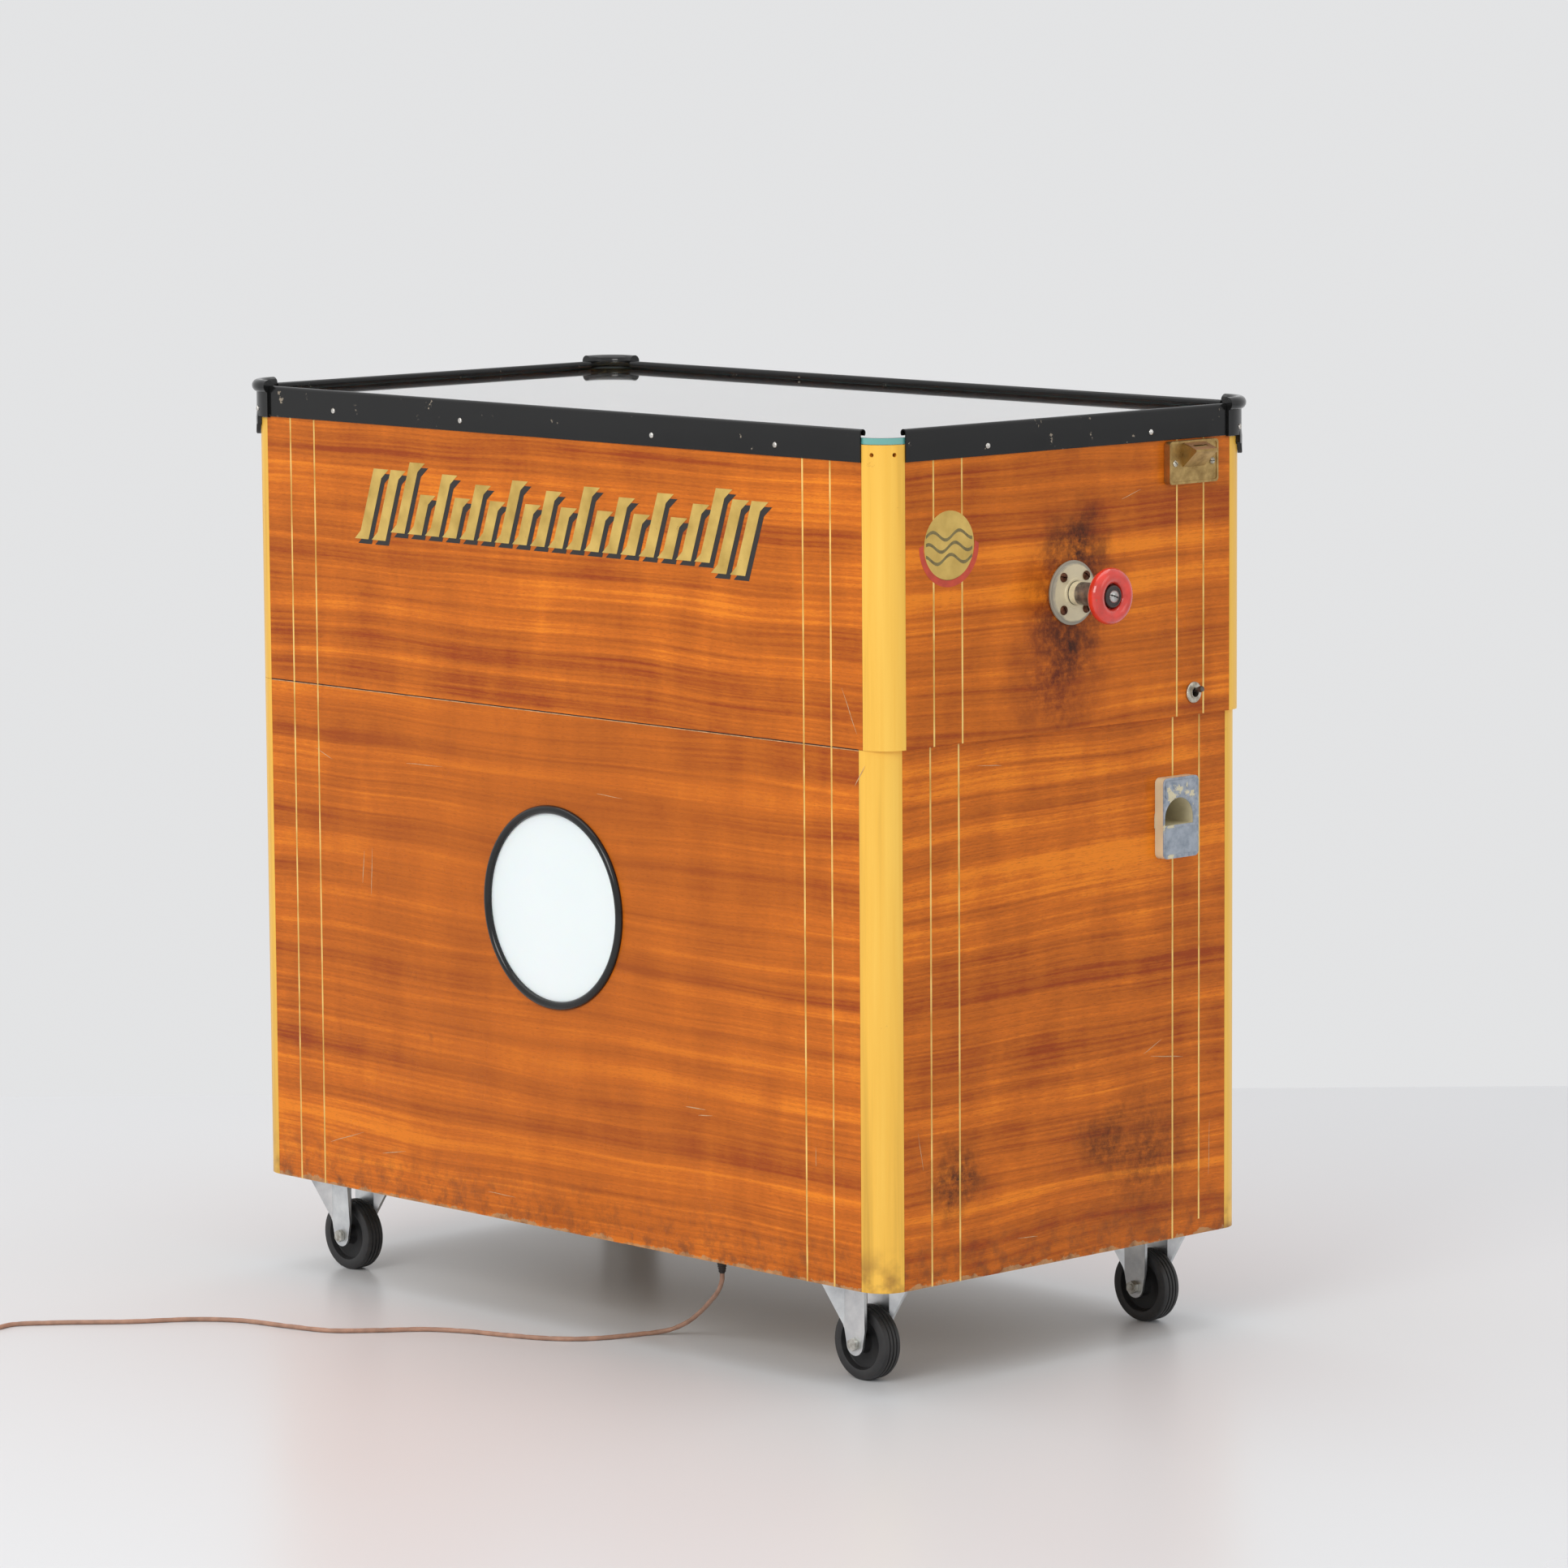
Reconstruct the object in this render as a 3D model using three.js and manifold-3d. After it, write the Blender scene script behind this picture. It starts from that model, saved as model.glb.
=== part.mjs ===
// Coin-operated table game on four casters: a hand-pushed coin pusher in a two-storey wooden case.
// Millimetres, +Z up, front (player's side) towards -Y, floor at z = 0.
// The group is moved at the end so that x = 0, y = 0 is the middle of the machine's own box.
import * as THREE from 'three';
import { mergeVertices } from 'three/addons/utils/BufferGeometryUtils.js';
import Module from 'manifold-3d';

const wasm = await Module();
wasm.setup();

// ---- driving dimensions: the case ----
const caseWidth = 540;
const caseLength = 1000;
const frontOverhang = 6;
const lowerCaseHeight = 558;
const upperCaseHeight = 310;
const casterHeight = 108;
const panelThickness = 12;
const postRadius = 31;
const bottomThickness = 12;
const fitGap = 0.3;

// ---- glass, rails and corner caps ----
const glassThickness = 7;
const glassInset = 0.6;
const railSheet = 1.5;
const railBeadRadius = 4;
const railApronDrop = 18;
const railCurl = THREE.MathUtils.degToRad(225);
const capWall = 4.3;
const capBeadRadius = 7;
const capBeadReach = 9.5;
const capOverRail = 6;
const capTailReach = 5.2;
const capTailDrop = 20;
const capTailStep = 9.5;
const capTailHalfWidth = 14;
const capScrewHoleRadius = 2.3;
const capScrewHoleDepth = 12;
const capScrewAngle = THREE.MathUtils.degToRad(22);
const capScrewRise = 8;
const capBeadLift = 0.4;
const capSkirtDrop = 1;
const capTailRound = 1.5;

// ---- window in the long side ----
const windowHeight = 349;
const windowClearRadius = 100.5;
const windowRingWidth = 9.5;
const windowRingProud = 5.5;
const windowGlassThickness = 4;
const windowRebate = 3.2;

// ---- casters ----
const wheelRadius = 39;
const wheelWidth = 23;
const wheelBoreGap = 0.3;
const axleRadius = 4;
const hubRadius = 10;
const hubHalfWidth = 14;
const casterInsetX = 61;
const casterInsetY = 86;
const bracketSheet = 2.5;
const bracketPlateLength = 72;
const bracketFlatHalf = 16;
const bracketWing = 17;
const bracketCreaseHeight = 58;
const forkGap = 2;
const wheelWebHalf = 4;
const wheelRimDepth = 12;
const wheelShoulder = 3;
const boltHexRadius = 7;
const boltHeadThickness = 4.5;
const boltNutThickness = 6;
const boltTail = 1;

// ---- hand control on the upper front ----
const controlHeight = 809;
const rodRadius = 12;
const rodRunningGap = 0.4;
const flangeRadius = 33.5;
const flangeFaceRadius = 30.5;
const flangeBaseThickness = 3;
const flangeFaceThickness = 5.5;
const flangeCollarRadius = 15.5;
const flangeCollarThickness = 7.5;
const knobCentreReach = 56;
const knobRingRadius = 21;
const knobRimRadius = 8.5;
const knobWebBack = 50.5;
const knobWebFront = 55.5;
const knobScrewRadius = 4;
const knobBossRadius = knobRingRadius - knobRimRadius - fitGap;
const knobBossThickness = 5.7;
const knobStopGap = 2;
// The knob stops just short of the flange's collar.
const pushStroke = knobCentreReach - knobRimRadius - flangeCollarThickness - knobStopGap;

// ---- coin entry on the upper front ----
const coinEntryX = 176;
const coinEntryHeight = 934;
const coinPlateWidth = 74;
const coinPlateHeight = 45;
const coinPlateThickness = 8.5;
const coinPlateCorner = 4;
const coinWedgeWidth = 33;
const coinWedgeReach = 27.2;
const coinSlotWidth = 20;
const coinSlotThickness = 3;
const coinRunWidth = 22;
const coinRunWall = 2;
const coinRunSlope = Math.tan(THREE.MathUtils.degToRad(30));
const coinPlateRim = 2.5;
const coinPlateRecess = 0.8;
const coinNoseBelowRim = 8.5;
const coinNoseFoot = 6;
const coinRunStart = -3;
const coinRunDepth = 10;
const coinRunFloor = 6;

// ---- toggle switch on the upper front ----
const switchX = 183.5;
const switchHeight = 690;
const switchDressRadius = 11.2;
const switchDressThickness = 2.6;
const switchBushRadius = 6;
const switchBodyWidth = 24;
const switchBodyHeight = 32;
const switchBodyDepth = 22;
const leverPivotDepth = 8;
const leverReach = 15;
const leverRootRadius = 2.1;
const leverTipRadius = 3.3;
const leverRestTilt = THREE.MathUtils.degToRad(12);

// ---- payout cup on the lower front ----
const cupX = 158.5;
const cupCentreHeight = 560.4;
const cupWidth = 54;
const cupHeight = 85.6;
const cupProud = 12.4;
const cupCorner = 6;
const cupMouthOffset = -3;
const cupMouthWidth = 43;
const cupMouthFloor = 553;
const cupMouthHeight = 28.5;
const cupWall = 3;
const cupDepth = 45;
const cupLabelProud = 0.9;
const cupLabelHeight = 18.5;
const cupLabelMargin = 3;

// ---- play deck ----
const deckThickness = 12;
const shelfThickness = 36;
const shelfLength = 300;
const shelfSideGap = 2;
const shelfRunningGap = 0.5;
const shelfPostGap = 2;
const rodSocketDepth = 55;
const bulkheadGap = 2;
const shelfSpare = 9;
const bulkheadBehindFront = postRadius + shelfPostGap + pushStroke + shelfSpare;
const bulkheadThickness = 12;
const bulkheadHeight = 102;
const coinDropLength = 88;
const coinRunLength = bulkheadBehindFront + 20;

// ---- money path and service side ----
const chuteSheet = 2;
const chuteWallHeight = 18;
const chuteBackWidth = 400;
const chuteEndWidth = 40;
const chuteRise = 205;
const doorWidth = 280;
const doorHeight = 240;
const doorSill = 60;
const doorGap = 1.5;
const hingeBarrelRadius = 3;
const hingeLeafWidth = 16;
const hingeLeafThickness = 1.2;
const hingeEndMargin = 15;
const lockFromEdge = 25;
const lockFaceRadius = 11;
const lockFaceThickness = 2.5;
const lockBarrelRadius = 8;
const lockCamLength = 32;
const lockCamWidth = 9;
const lockCamThickness = 2.5;
const lockBarrelInner = 6;
const cashBoxWidth = 260;
const cashBoxLength = 190;
const cashBoxHeight = 90;
const cashBoxWall = 2;
const cashBoxBehindDoor = 20;

// ---- window lamp ----
const lampStandOff = 62;
const lampBracketSheet = 3;
const lampBracketWidth = 36;
const lampHolderRadius = 17;
const lampHolderHeight = 40;
const lampBulbRadius = 30;
const lampBulbBelowCentre = 92;
const lampBracketDrop = 45;

// ---- mains lead ----
const cordDiameter = 5;
const cordExit = new THREE.Vector2(-228, -214);
const glandLength = 22;
const glandTopRadius = 6.5;
const glandTipRadius = 3.6;
const coilTurnsWide = 3;
const coilTurnsHigh = 2;
const coilMeanRadius = 27.5;
const coilCentre = new THREE.Vector2(-738, 455);
const plugLength = 36;
const plugWidth = 26;
const plugThickness = 13;
const plugPinLength = 19;
const plugPinRadius = 2.4;
const plugPinSpacing = 19;
const plugDirection = new THREE.Vector2(0.686, 0.728);

// ---- heights and places that follow from them ----
const seamHeight = casterHeight + lowerCaseHeight;
const upperTop = seamHeight + upperCaseHeight;
const glassBottom = upperTop + fitGap;
const glassTop = glassBottom + glassThickness;
const apronBottom = upperTop - railApronDrop;
const upperLength = caseLength + frontOverhang;
const upperMiddle = -frontOverhang / 2;
const upperFrontFace = -caseLength / 2 - frontOverhang;
const lowerFrontFace = -caseLength / 2;
const backFace = caseLength / 2;
const backInner = backFace - panelThickness;
const upperFrontInner = upperFrontFace + panelThickness;
const innerHalfWidth = caseWidth / 2 - panelThickness;
const shelfTop = controlHeight + shelfThickness / 2;
const shelfBottom = controlHeight - shelfThickness / 2;
const deckTop = shelfBottom - shelfRunningGap;
const windowCentreHeight = casterHeight + windowHeight;

const finish = (color, roughness, metalness = 0) =>
  new THREE.MeshStandardMaterial({ color, roughness, metalness });
const sapele = () => finish(0xa8591f, 0.35);
const beech = () => finish(0xd79a4c, 0.4);
const plainWood = () => finish(0xc49a66, 0.6);
const blackEnamel = () => finish(0x141414, 0.25, 0.2);
const zincPlate = () => finish(0xb9bdb8, 0.4, 0.9);
const blackRubber = () => finish(0x2a2a2b, 0.7);
const brass = () => finish(0xb08d4a, 0.35, 0.9);
const creamPaint = () => finish(0xe6dcb4, 0.4);
const clearGlass = () => finish(0xc9d8d2, 0.05);

const machine = new THREE.Group();

function addMesh(name, geometry, material, parent = machine) {
  const mesh = new THREE.Mesh(geometry, material);
  mesh.name = name;
  parent.add(mesh);
  return mesh;
}

// ---- booleans: a closed geometry becomes a solid, and a solid becomes a geometry again ----
function toSolid(geometry) {
  const bare = new THREE.BufferGeometry();
  bare.setAttribute('position', geometry.getAttribute('position').clone());
  bare.setIndex(geometry.index ? geometry.index.clone() : null);
  const welded = mergeVertices(bare, 1e-4);
  const corners = welded.index.array;
  const kept = [];
  for (let i = 0; i < corners.length; i += 3) {
    const [a, b, c] = [corners[i], corners[i + 1], corners[i + 2]];
    if (a !== b && b !== c && c !== a) kept.push(a, b, c);
  }
  return new wasm.Manifold(new wasm.Mesh({
    numProp: 3,
    vertProperties: new Float32Array(welded.attributes.position.array),
    triVerts: new Uint32Array(kept),
  }));
}

function toGeometry(solid) {
  const mesh = solid.getMesh();
  const geometry = new THREE.BufferGeometry();
  geometry.setAttribute('position', new THREE.BufferAttribute(mesh.vertProperties, 3));
  geometry.setIndex(new THREE.BufferAttribute(mesh.triVerts, 1));
  return geometry;
}

const join = (first, ...rest) =>
  toGeometry(rest.reduce((sum, piece) => sum.add(toSolid(piece)), toSolid(first)));
const cut = (first, ...holes) =>
  toGeometry(holes.reduce((rest, hole) => rest.subtract(toSolid(hole)), toSolid(first)));
const common = (first, second) => toGeometry(toSolid(first).intersect(toSolid(second)));

// ---- basic shapes ----
// A hole and the disc that sits in it are cut with the same number of steps.
const roundSteps = 24;

function block(x0, x1, y0, y1, z0, z1) {
  const geometry = new THREE.BoxGeometry(x1 - x0, y1 - y0, z1 - z0);
  return geometry.translate((x0 + x1) / 2, (y0 + y1) / 2, (z0 + z1) / 2);
}

function prism(shape, depth, curveSegments = 8) {
  return new THREE.ExtrudeGeometry(shape, { depth, bevelEnabled: false, curveSegments });
}

// Outline in x and z, from y = outer (towards the player) to y = inner.
function wallPrism(shape, outer, inner, curveSegments = 8) {
  return prism(shape, inner - outer, curveSegments).rotateX(Math.PI / 2).translate(0, inner, 0);
}

// Outline in y and z, from x = left to x = right.
function sidePrism(shape, left, right, curveSegments = 8) {
  const basis = new THREE.Matrix4().makeBasis(
    new THREE.Vector3(0, 1, 0), new THREE.Vector3(0, 0, 1), new THREE.Vector3(1, 0, 0));
  return prism(shape, right - left, curveSegments).applyMatrix4(basis).translate(left, 0, 0);
}

// Profile of [radius, height] pairs, listed from the bottom round the outside to the top.
const turned = (profile, segments = 32) =>
  new THREE.LatheGeometry(profile.map(([r, h]) => new THREE.Vector2(r, h)), segments);
const turnedUpright = (profile, segments) => turned(profile, segments).rotateX(Math.PI / 2);
const turnedTowardsPlayer = (profile, segments) => turned(profile, segments).rotateX(Math.PI);
const turnedAcross = (profile, segments) => turned(profile, segments).rotateZ(-Math.PI / 2);

function arcPoints(centreR, centreH, radius, fromDegrees, toDegrees, steps) {
  const points = [];
  for (let i = 0; i <= steps; i += 1) {
    const angle = THREE.MathUtils.degToRad(fromDegrees + (toDegrees - fromDegrees) * i / steps);
    points.push([centreR + radius * Math.cos(angle), centreH + radius * Math.sin(angle)]);
  }
  return points;
}

const closed = (profile) => [...profile, profile[0]];
const shapeOf = (points) => new THREE.Shape(points.map(([x, y]) => new THREE.Vector2(x, y)));

function rectangle(centreX, centreY, width, height) {
  return shapeOf([
    [centreX - width / 2, centreY - height / 2], [centreX + width / 2, centreY - height / 2],
    [centreX + width / 2, centreY + height / 2], [centreX - width / 2, centreY + height / 2],
  ]);
}

function roundedRectangle(centreX, centreY, width, height, radius) {
  const right = centreX + width / 2 - radius;
  const left = centreX - width / 2 + radius;
  const top = centreY + height / 2 - radius;
  const bottom = centreY - height / 2 + radius;
  const shape = new THREE.Shape();
  shape.absarc(right, top, radius, 0, Math.PI / 2, false);
  shape.absarc(left, top, radius, Math.PI / 2, Math.PI, false);
  shape.absarc(left, bottom, radius, Math.PI, Math.PI * 1.5, false);
  shape.absarc(right, bottom, radius, Math.PI * 1.5, Math.PI * 2, false);
  return shape;
}

function disc(centreX, centreY, radius) {
  const shape = new THREE.Shape();
  shape.absarc(centreX, centreY, radius, 0, Math.PI * 2, false);
  return shape;
}

function arch(centreX, floor, width, height) {
  const radius = width / 2;
  const shape = new THREE.Shape();
  shape.moveTo(centreX - radius, floor);
  shape.lineTo(centreX + radius, floor);
  shape.absarc(centreX, floor + height - radius, radius, 0, Math.PI, false);
  return shape;
}

// ---- one storey of the case: four panels between four quarter-round posts ----
const cornerTurns = { front_left: 0, front_right: 1, rear_right: 2, rear_left: 3 };

function sidesOf(width, length) {
  return {
    front: { turn: 0, span: width, reach: length / 2 },
    right: { turn: 1, span: length, reach: width / 2 },
    back: { turn: 2, span: width, reach: length / 2 },
    left: { turn: 3, span: length, reach: width / 2 },
  };
}

function sideGroup(side, middle) {
  const group = new THREE.Group();
  group.position.y = middle;
  group.rotation.z = side.turn * Math.PI / 2;
  machine.add(group);
  return group;
}

function cornerGroup(corner, length, middle) {
  const turn = cornerTurns[corner];
  const group = new THREE.Group();
  const rightward = corner.endsWith('right') ? 1 : -1;
  const rearward = corner.startsWith('rear') ? 1 : -1;
  group.position.x = rightward * (caseWidth / 2 - postRadius);
  group.position.y = middle + rearward * (length / 2 - postRadius);
  group.rotation.z = turn * Math.PI / 2;
  machine.add(group);
  return group;
}

function postGeometry(bottom, height) {
  const quarter = new THREE.Shape();
  quarter.moveTo(0, 0);
  quarter.lineTo(-postRadius, 0);
  quarter.absarc(0, 0, postRadius, Math.PI, Math.PI * 1.5, false);
  return prism(quarter, height, 10).translate(0, 0, bottom);
}

function buildStorey(prefix, length, middle, bottom, height, openings, postFor) {
  for (const [sideName, side] of Object.entries(sidesOf(caseWidth, length))) {
    const half = side.span / 2 - postRadius - fitGap;
    const plain = block(-half, half, -side.reach, -side.reach + panelThickness, bottom, bottom + height);
    const holes = (openings[sideName] ?? []).map((shape) =>
      wallPrism(shape, -side.reach - 1, -side.reach + panelThickness + 1, roundSteps));
    const geometry = holes.length ? cut(plain, ...holes) : plain;
    addMesh(`${prefix}_${sideName}_panel`, geometry, sapele(), sideGroup(side, middle));
  }
  for (const corner of Object.keys(cornerTurns)) {
    const geometry = postFor(corner, postGeometry(bottom, height));
    addMesh(`${prefix}_${corner}_post`, geometry, beech(), cornerGroup(corner, length, middle));
  }
}

const cupHoleWidth = cupMouthWidth + 2 * (cupWall + fitGap);
const cupHoleHeight = cupMouthHeight + 2 * (cupWall + fitGap);
const cupMouthX = cupX + cupMouthOffset;
const windowHoleRadius = windowClearRadius + windowRebate + fitGap;
const doorMiddle = casterHeight + doorSill + doorHeight / 2;

buildStorey('lower', caseLength, 0, casterHeight, lowerCaseHeight, {
  front: [arch(cupMouthX, cupMouthFloor - cupWall - fitGap, cupHoleWidth, cupHoleHeight)],
  left: [disc(0, windowCentreHeight, windowHoleRadius)],
  back: [rectangle(0, doorMiddle, doorWidth + 2 * doorGap, doorHeight + 2 * doorGap)],
}, (corner, post) => post);

// The bare front-left corner of the upper case shows two empty screw holes.
function upperPost(corner, post) {
  if (corner !== 'front_left') return post;
  const holes = [-1, 1].map((hand) => {
    const angle = Math.PI * 0.25 + hand * capScrewAngle;
    const drill = new THREE.CylinderGeometry(capScrewHoleRadius, capScrewHoleRadius, capScrewHoleDepth, 12);
    const reach = postRadius - capScrewHoleDepth / 2 + 1;
    drill.rotateZ(Math.PI / 2).translate(-reach, 0, apronBottom + capScrewRise);
    return drill.rotateZ(angle);
  });
  return cut(post, ...holes);
}

const rodHoleGap = 1;
const coinHoleWidth = coinRunWidth + 2 * (coinRunWall + fitGap) + 1;
const coinHoleTop = 10;
// The run slopes down, so the hole reaches as low as the run does at the panel's inner face.
const coinHoleBottom = coinRunStart - coinRunFloor - panelThickness * coinRunSlope - fitGap;
buildStorey('upper', upperLength, upperMiddle, seamHeight + fitGap, upperCaseHeight - fitGap, {
  front: [
    disc(0, controlHeight, rodRadius + rodHoleGap),
    disc(switchX, switchHeight, switchBushRadius + fitGap),
    rectangle(coinEntryX, coinEntryHeight + (coinHoleTop + coinHoleBottom) / 2, coinHoleWidth,
      coinHoleTop - coinHoleBottom),
  ],
}, upperPost);

// ---- boards inside the case are notched round the four posts ----
function notchedBoard(board, length, middle) {
  const notch = postRadius + fitGap;
  const notches = [[-1, -1], [1, -1], [1, 1], [-1, 1]].map(([x, y]) => {
    const cornerX = x * caseWidth / 2;
    const cornerY = middle + y * length / 2;
    return block(cornerX - notch, cornerX + notch, cornerY - notch, cornerY + notch, 0, upperTop);
  });
  return cut(board, ...notches);
}

const boardHalfX = innerHalfWidth - fitGap;
const boardHalfY = caseLength / 2 - panelThickness - fitGap;
const bottomBoard = block(-boardHalfX, boardHalfX, -boardHalfY, boardHalfY,
  casterHeight, casterHeight + bottomThickness);
addMesh('bottom_board', notchedBoard(bottomBoard, caseLength, 0), plainWood());

// ---- casters ----
const treadHalf = wheelWidth / 2;
const wheelHalfProfile = [
  [wheelRadius, treadHalf - wheelShoulder], [wheelRadius - wheelShoulder, treadHalf],
  [wheelRadius - wheelRimDepth, treadHalf], [wheelRadius - wheelRimDepth, wheelWebHalf],
  [hubRadius, wheelWebHalf], [hubRadius, hubHalfWidth], [axleRadius + wheelBoreGap, hubHalfWidth],
];
const wheelProfile = closed([
  ...wheelHalfProfile.toReversed().map(([r, h]) => [r, -h]),
  ...wheelHalfProfile,
]);
const forkInner = hubHalfWidth + forkGap;
const forkOuter = forkInner + bracketSheet;
const bracketTop = casterHeight - fitGap;

// One fork leg seen from above: a flat middle with both ends flared outwards at 45 degrees.
function forkLeg(hand) {
  const slant = bracketSheet * Math.SQRT2;
  const tip = bracketFlatHalf + bracketWing;
  const outline = [
    [forkInner, -bracketFlatHalf], [forkInner + bracketWing, -tip],
    [forkInner + bracketWing + slant, -tip], [forkOuter, -bracketFlatHalf + slant - bracketSheet],
    [forkOuter, bracketFlatHalf - slant + bracketSheet], [forkInner + bracketWing + slant, tip],
    [forkInner + bracketWing, tip], [forkInner, bracketFlatHalf],
  ];
  const column = prism(shapeOf(outline), bracketTop - wheelRadius / 2).translate(0, 0, wheelRadius / 2);
  const side = new THREE.Shape();
  const bossRadius = axleRadius * 3;
  side.moveTo(-tip - 1, bracketTop);
  side.lineTo(-bracketFlatHalf, bracketCreaseHeight);
  side.absarc(0, wheelRadius, bossRadius, Math.PI, Math.PI * 2, false);
  side.lineTo(bracketFlatHalf, bracketCreaseHeight);
  side.lineTo(tip + 1, bracketTop);
  const leg = common(column, sidePrism(side, 0, forkOuter + bracketWing + slant));
  return hand > 0 ? leg : leg.rotateZ(Math.PI);
}

const axleHole = turnedAcross([[0, -forkOuter - 1], [axleRadius + fitGap, -forkOuter - 1],
  [axleRadius + fitGap, forkOuter + 1], [0, forkOuter + 1]], 12).translate(0, 0, wheelRadius);
const bracketHalfWidth = forkOuter + bracketWing;
const topPlate = block(-bracketHalfWidth, bracketHalfWidth, -bracketPlateLength / 2, bracketPlateLength / 2,
  bracketTop - bracketSheet, bracketTop);
const bracketGeometry = cut(join(topPlate, forkLeg(1), forkLeg(-1)), axleHole);

const boltFaceReach = forkOuter + fitGap;
const boltEnd = boltFaceReach + boltNutThickness + boltTail;
const hexagon = (thickness) => new THREE.CylinderGeometry(boltHexRadius, boltHexRadius, thickness, 6)
  .rotateZ(Math.PI / 2);
const boltHead = hexagon(boltHeadThickness)
  .translate(-boltFaceReach - boltHeadThickness / 2, 0, wheelRadius);
const boltNut = hexagon(boltNutThickness)
  .translate(boltFaceReach + boltNutThickness / 2, 0, wheelRadius);
const boltShank = turnedAcross([[0, -boltFaceReach - 1], [axleRadius, -boltFaceReach - 1],
  [axleRadius, boltEnd], [0, boltEnd]], 12).translate(0, 0, wheelRadius);
const axleGeometry = join(boltShank, boltHead, boltNut);

for (const corner of Object.keys(cornerTurns)) {
  const rightward = corner.endsWith('right') ? 1 : -1;
  const rearward = corner.startsWith('rear') ? 1 : -1;
  const caster = new THREE.Group();
  caster.position.x = rightward * (caseWidth / 2 - casterInsetX);
  caster.position.y = rearward * (caseLength / 2 - casterInsetY);
  // The bolt heads face outwards on both sides.
  caster.rotation.z = rightward > 0 ? Math.PI : 0;
  machine.add(caster);
  addMesh(`caster_${corner}_bracket`, bracketGeometry, zincPlate(), caster);
  addMesh(`caster_${corner}_wheel`, turnedAcross(wheelProfile, 20).translate(0, 0, wheelRadius),
    blackRubber(), caster);
  addMesh(`caster_${corner}_axle`, axleGeometry, zincPlate(), caster);
}

// ---- glass top, rails and corner caps ----
const glassOutline = roundedRectangle(0, upperMiddle, caseWidth - 2 * glassInset,
  upperLength - 2 * glassInset, postRadius - glassInset);
addMesh('glass_top', prism(glassOutline, glassThickness).translate(0, 0, glassBottom), clearGlass());

const railOuter = fitGap + railSheet;
const railBeadHeight = glassTop + fitGap + railBeadRadius;
const railSection = new THREE.Shape();
railSection.moveTo(fitGap, apronBottom);
railSection.lineTo(railOuter, apronBottom);
railSection.lineTo(railOuter, railBeadHeight);
const railBeadCentre = railOuter - railBeadRadius;
railSection.absarc(railBeadCentre, railBeadHeight, railBeadRadius, 0, railCurl, false);
railSection.absarc(railBeadCentre, railBeadHeight, railBeadRadius - railSheet, railCurl, 0, true);

// Outline in outward distance and height, run along a side from x = start to x = end.
function alongSide(section, start, end) {
  const basis = new THREE.Matrix4().makeBasis(
    new THREE.Vector3(0, -1, 0), new THREE.Vector3(0, 0, 1), new THREE.Vector3(-1, 0, 0));
  return prism(section, end - start, 6).applyMatrix4(basis).translate(end, 0, 0);
}

const cappedEnd = capOverRail + fitGap;
const railTrims = {
  front: [0, cappedEnd],
  right: [cappedEnd, cappedEnd],
  back: [cappedEnd, cappedEnd],
  left: [cappedEnd, 0],
};
for (const [sideName, side] of Object.entries(sidesOf(caseWidth, upperLength))) {
  const half = side.span / 2 - postRadius;
  const [trimStart, trimEnd] = railTrims[sideName];
  const rail = alongSide(railSection, -half + trimStart, half - trimEnd).translate(0, -side.reach, 0);
  addMesh(`${sideName}_rail`, rail, blackEnamel(), sideGroup(side, upperMiddle));
}

// Cap section in outward distance from the post face, and height.
const capBeadCentre = capBeadReach - capBeadRadius;
const capBeadHeight = glassTop + fitGap + capBeadRadius + capBeadLift;
const capOuter = fitGap + capWall;
const capOuterAngle = -THREE.MathUtils.radToDeg(Math.acos((capOuter - capBeadCentre) / capBeadRadius));
const capInnerAngle = 360 - THREE.MathUtils.radToDeg(Math.acos((fitGap - capBeadCentre) / capBeadRadius));
const capSection = [
  [fitGap, apronBottom - capSkirtDrop], [capOuter, apronBottom - capSkirtDrop],
  ...arcPoints(capBeadCentre, capBeadHeight, capBeadRadius, capOuterAngle, capInnerAngle, 9),
];

function capGeometry() {
  const ring = turnedUpright(closed(capSection.map(([n, h]) => [n + postRadius, h])), 28);
  const reach = postRadius + capBeadReach + 1;
  const top = capBeadHeight + capBeadRadius + 1;
  const quarter = common(ring, block(-reach, 0, -reach, 0, apronBottom - 2, top));
  const stubSection = shapeOf(capSection.map(([n, h]) => [n + postRadius, h]));
  const frontStub = alongSide(stubSection, -0.01, capOverRail);
  const sideBasis = new THREE.Matrix4().makeBasis(
    new THREE.Vector3(-1, 0, 0), new THREE.Vector3(0, 0, 1), new THREE.Vector3(0, 1, 0));
  const sideStub = prism(stubSection, capOverRail + 0.01).applyMatrix4(sideBasis).translate(0, -0.01, 0);
  const tailTop = apronBottom + capTailReach - capWall;
  const tipHeight = apronBottom - capTailDrop;
  const tailFace = postRadius + capTailReach;
  const tailRing = turnedUpright(closed([
    [postRadius + fitGap, tipHeight - 1], [tailFace, tipHeight - 1], [tailFace, apronBottom],
    [postRadius + capOuter - fitGap, tailTop], [postRadius + fitGap, tailTop],
  ]), 28);
  const stepHeight = apronBottom - capTailStep;
  const half = [
    [capTailHalfWidth, tailTop + 1], [capTailHalfWidth, stepHeight + capTailRound],
    [capTailHalfWidth - capTailRound, stepHeight], [capTailHalfWidth * 0.6, stepHeight],
    [capTailHalfWidth * 0.55, stepHeight - capTailRound * 2], [capTailHalfWidth * 0.2, tipHeight + 1],
  ];
  const outline = [[0, tipHeight], ...half.toReversed(), ...half.map(([x, z]) => [-x, z])];
  const tongue = wallPrism(shapeOf(outline), -reach, -postRadius / 2).rotateZ(-Math.PI / 4);
  const tail = common(tailRing, tongue);
  return join(quarter, frontStub, sideStub, tail);
}

for (const corner of ['front_right', 'rear_right', 'rear_left']) {
  addMesh(`${corner}_cap`, capGeometry(), blackEnamel(), cornerGroup(corner, upperLength, upperMiddle));
}

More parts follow.
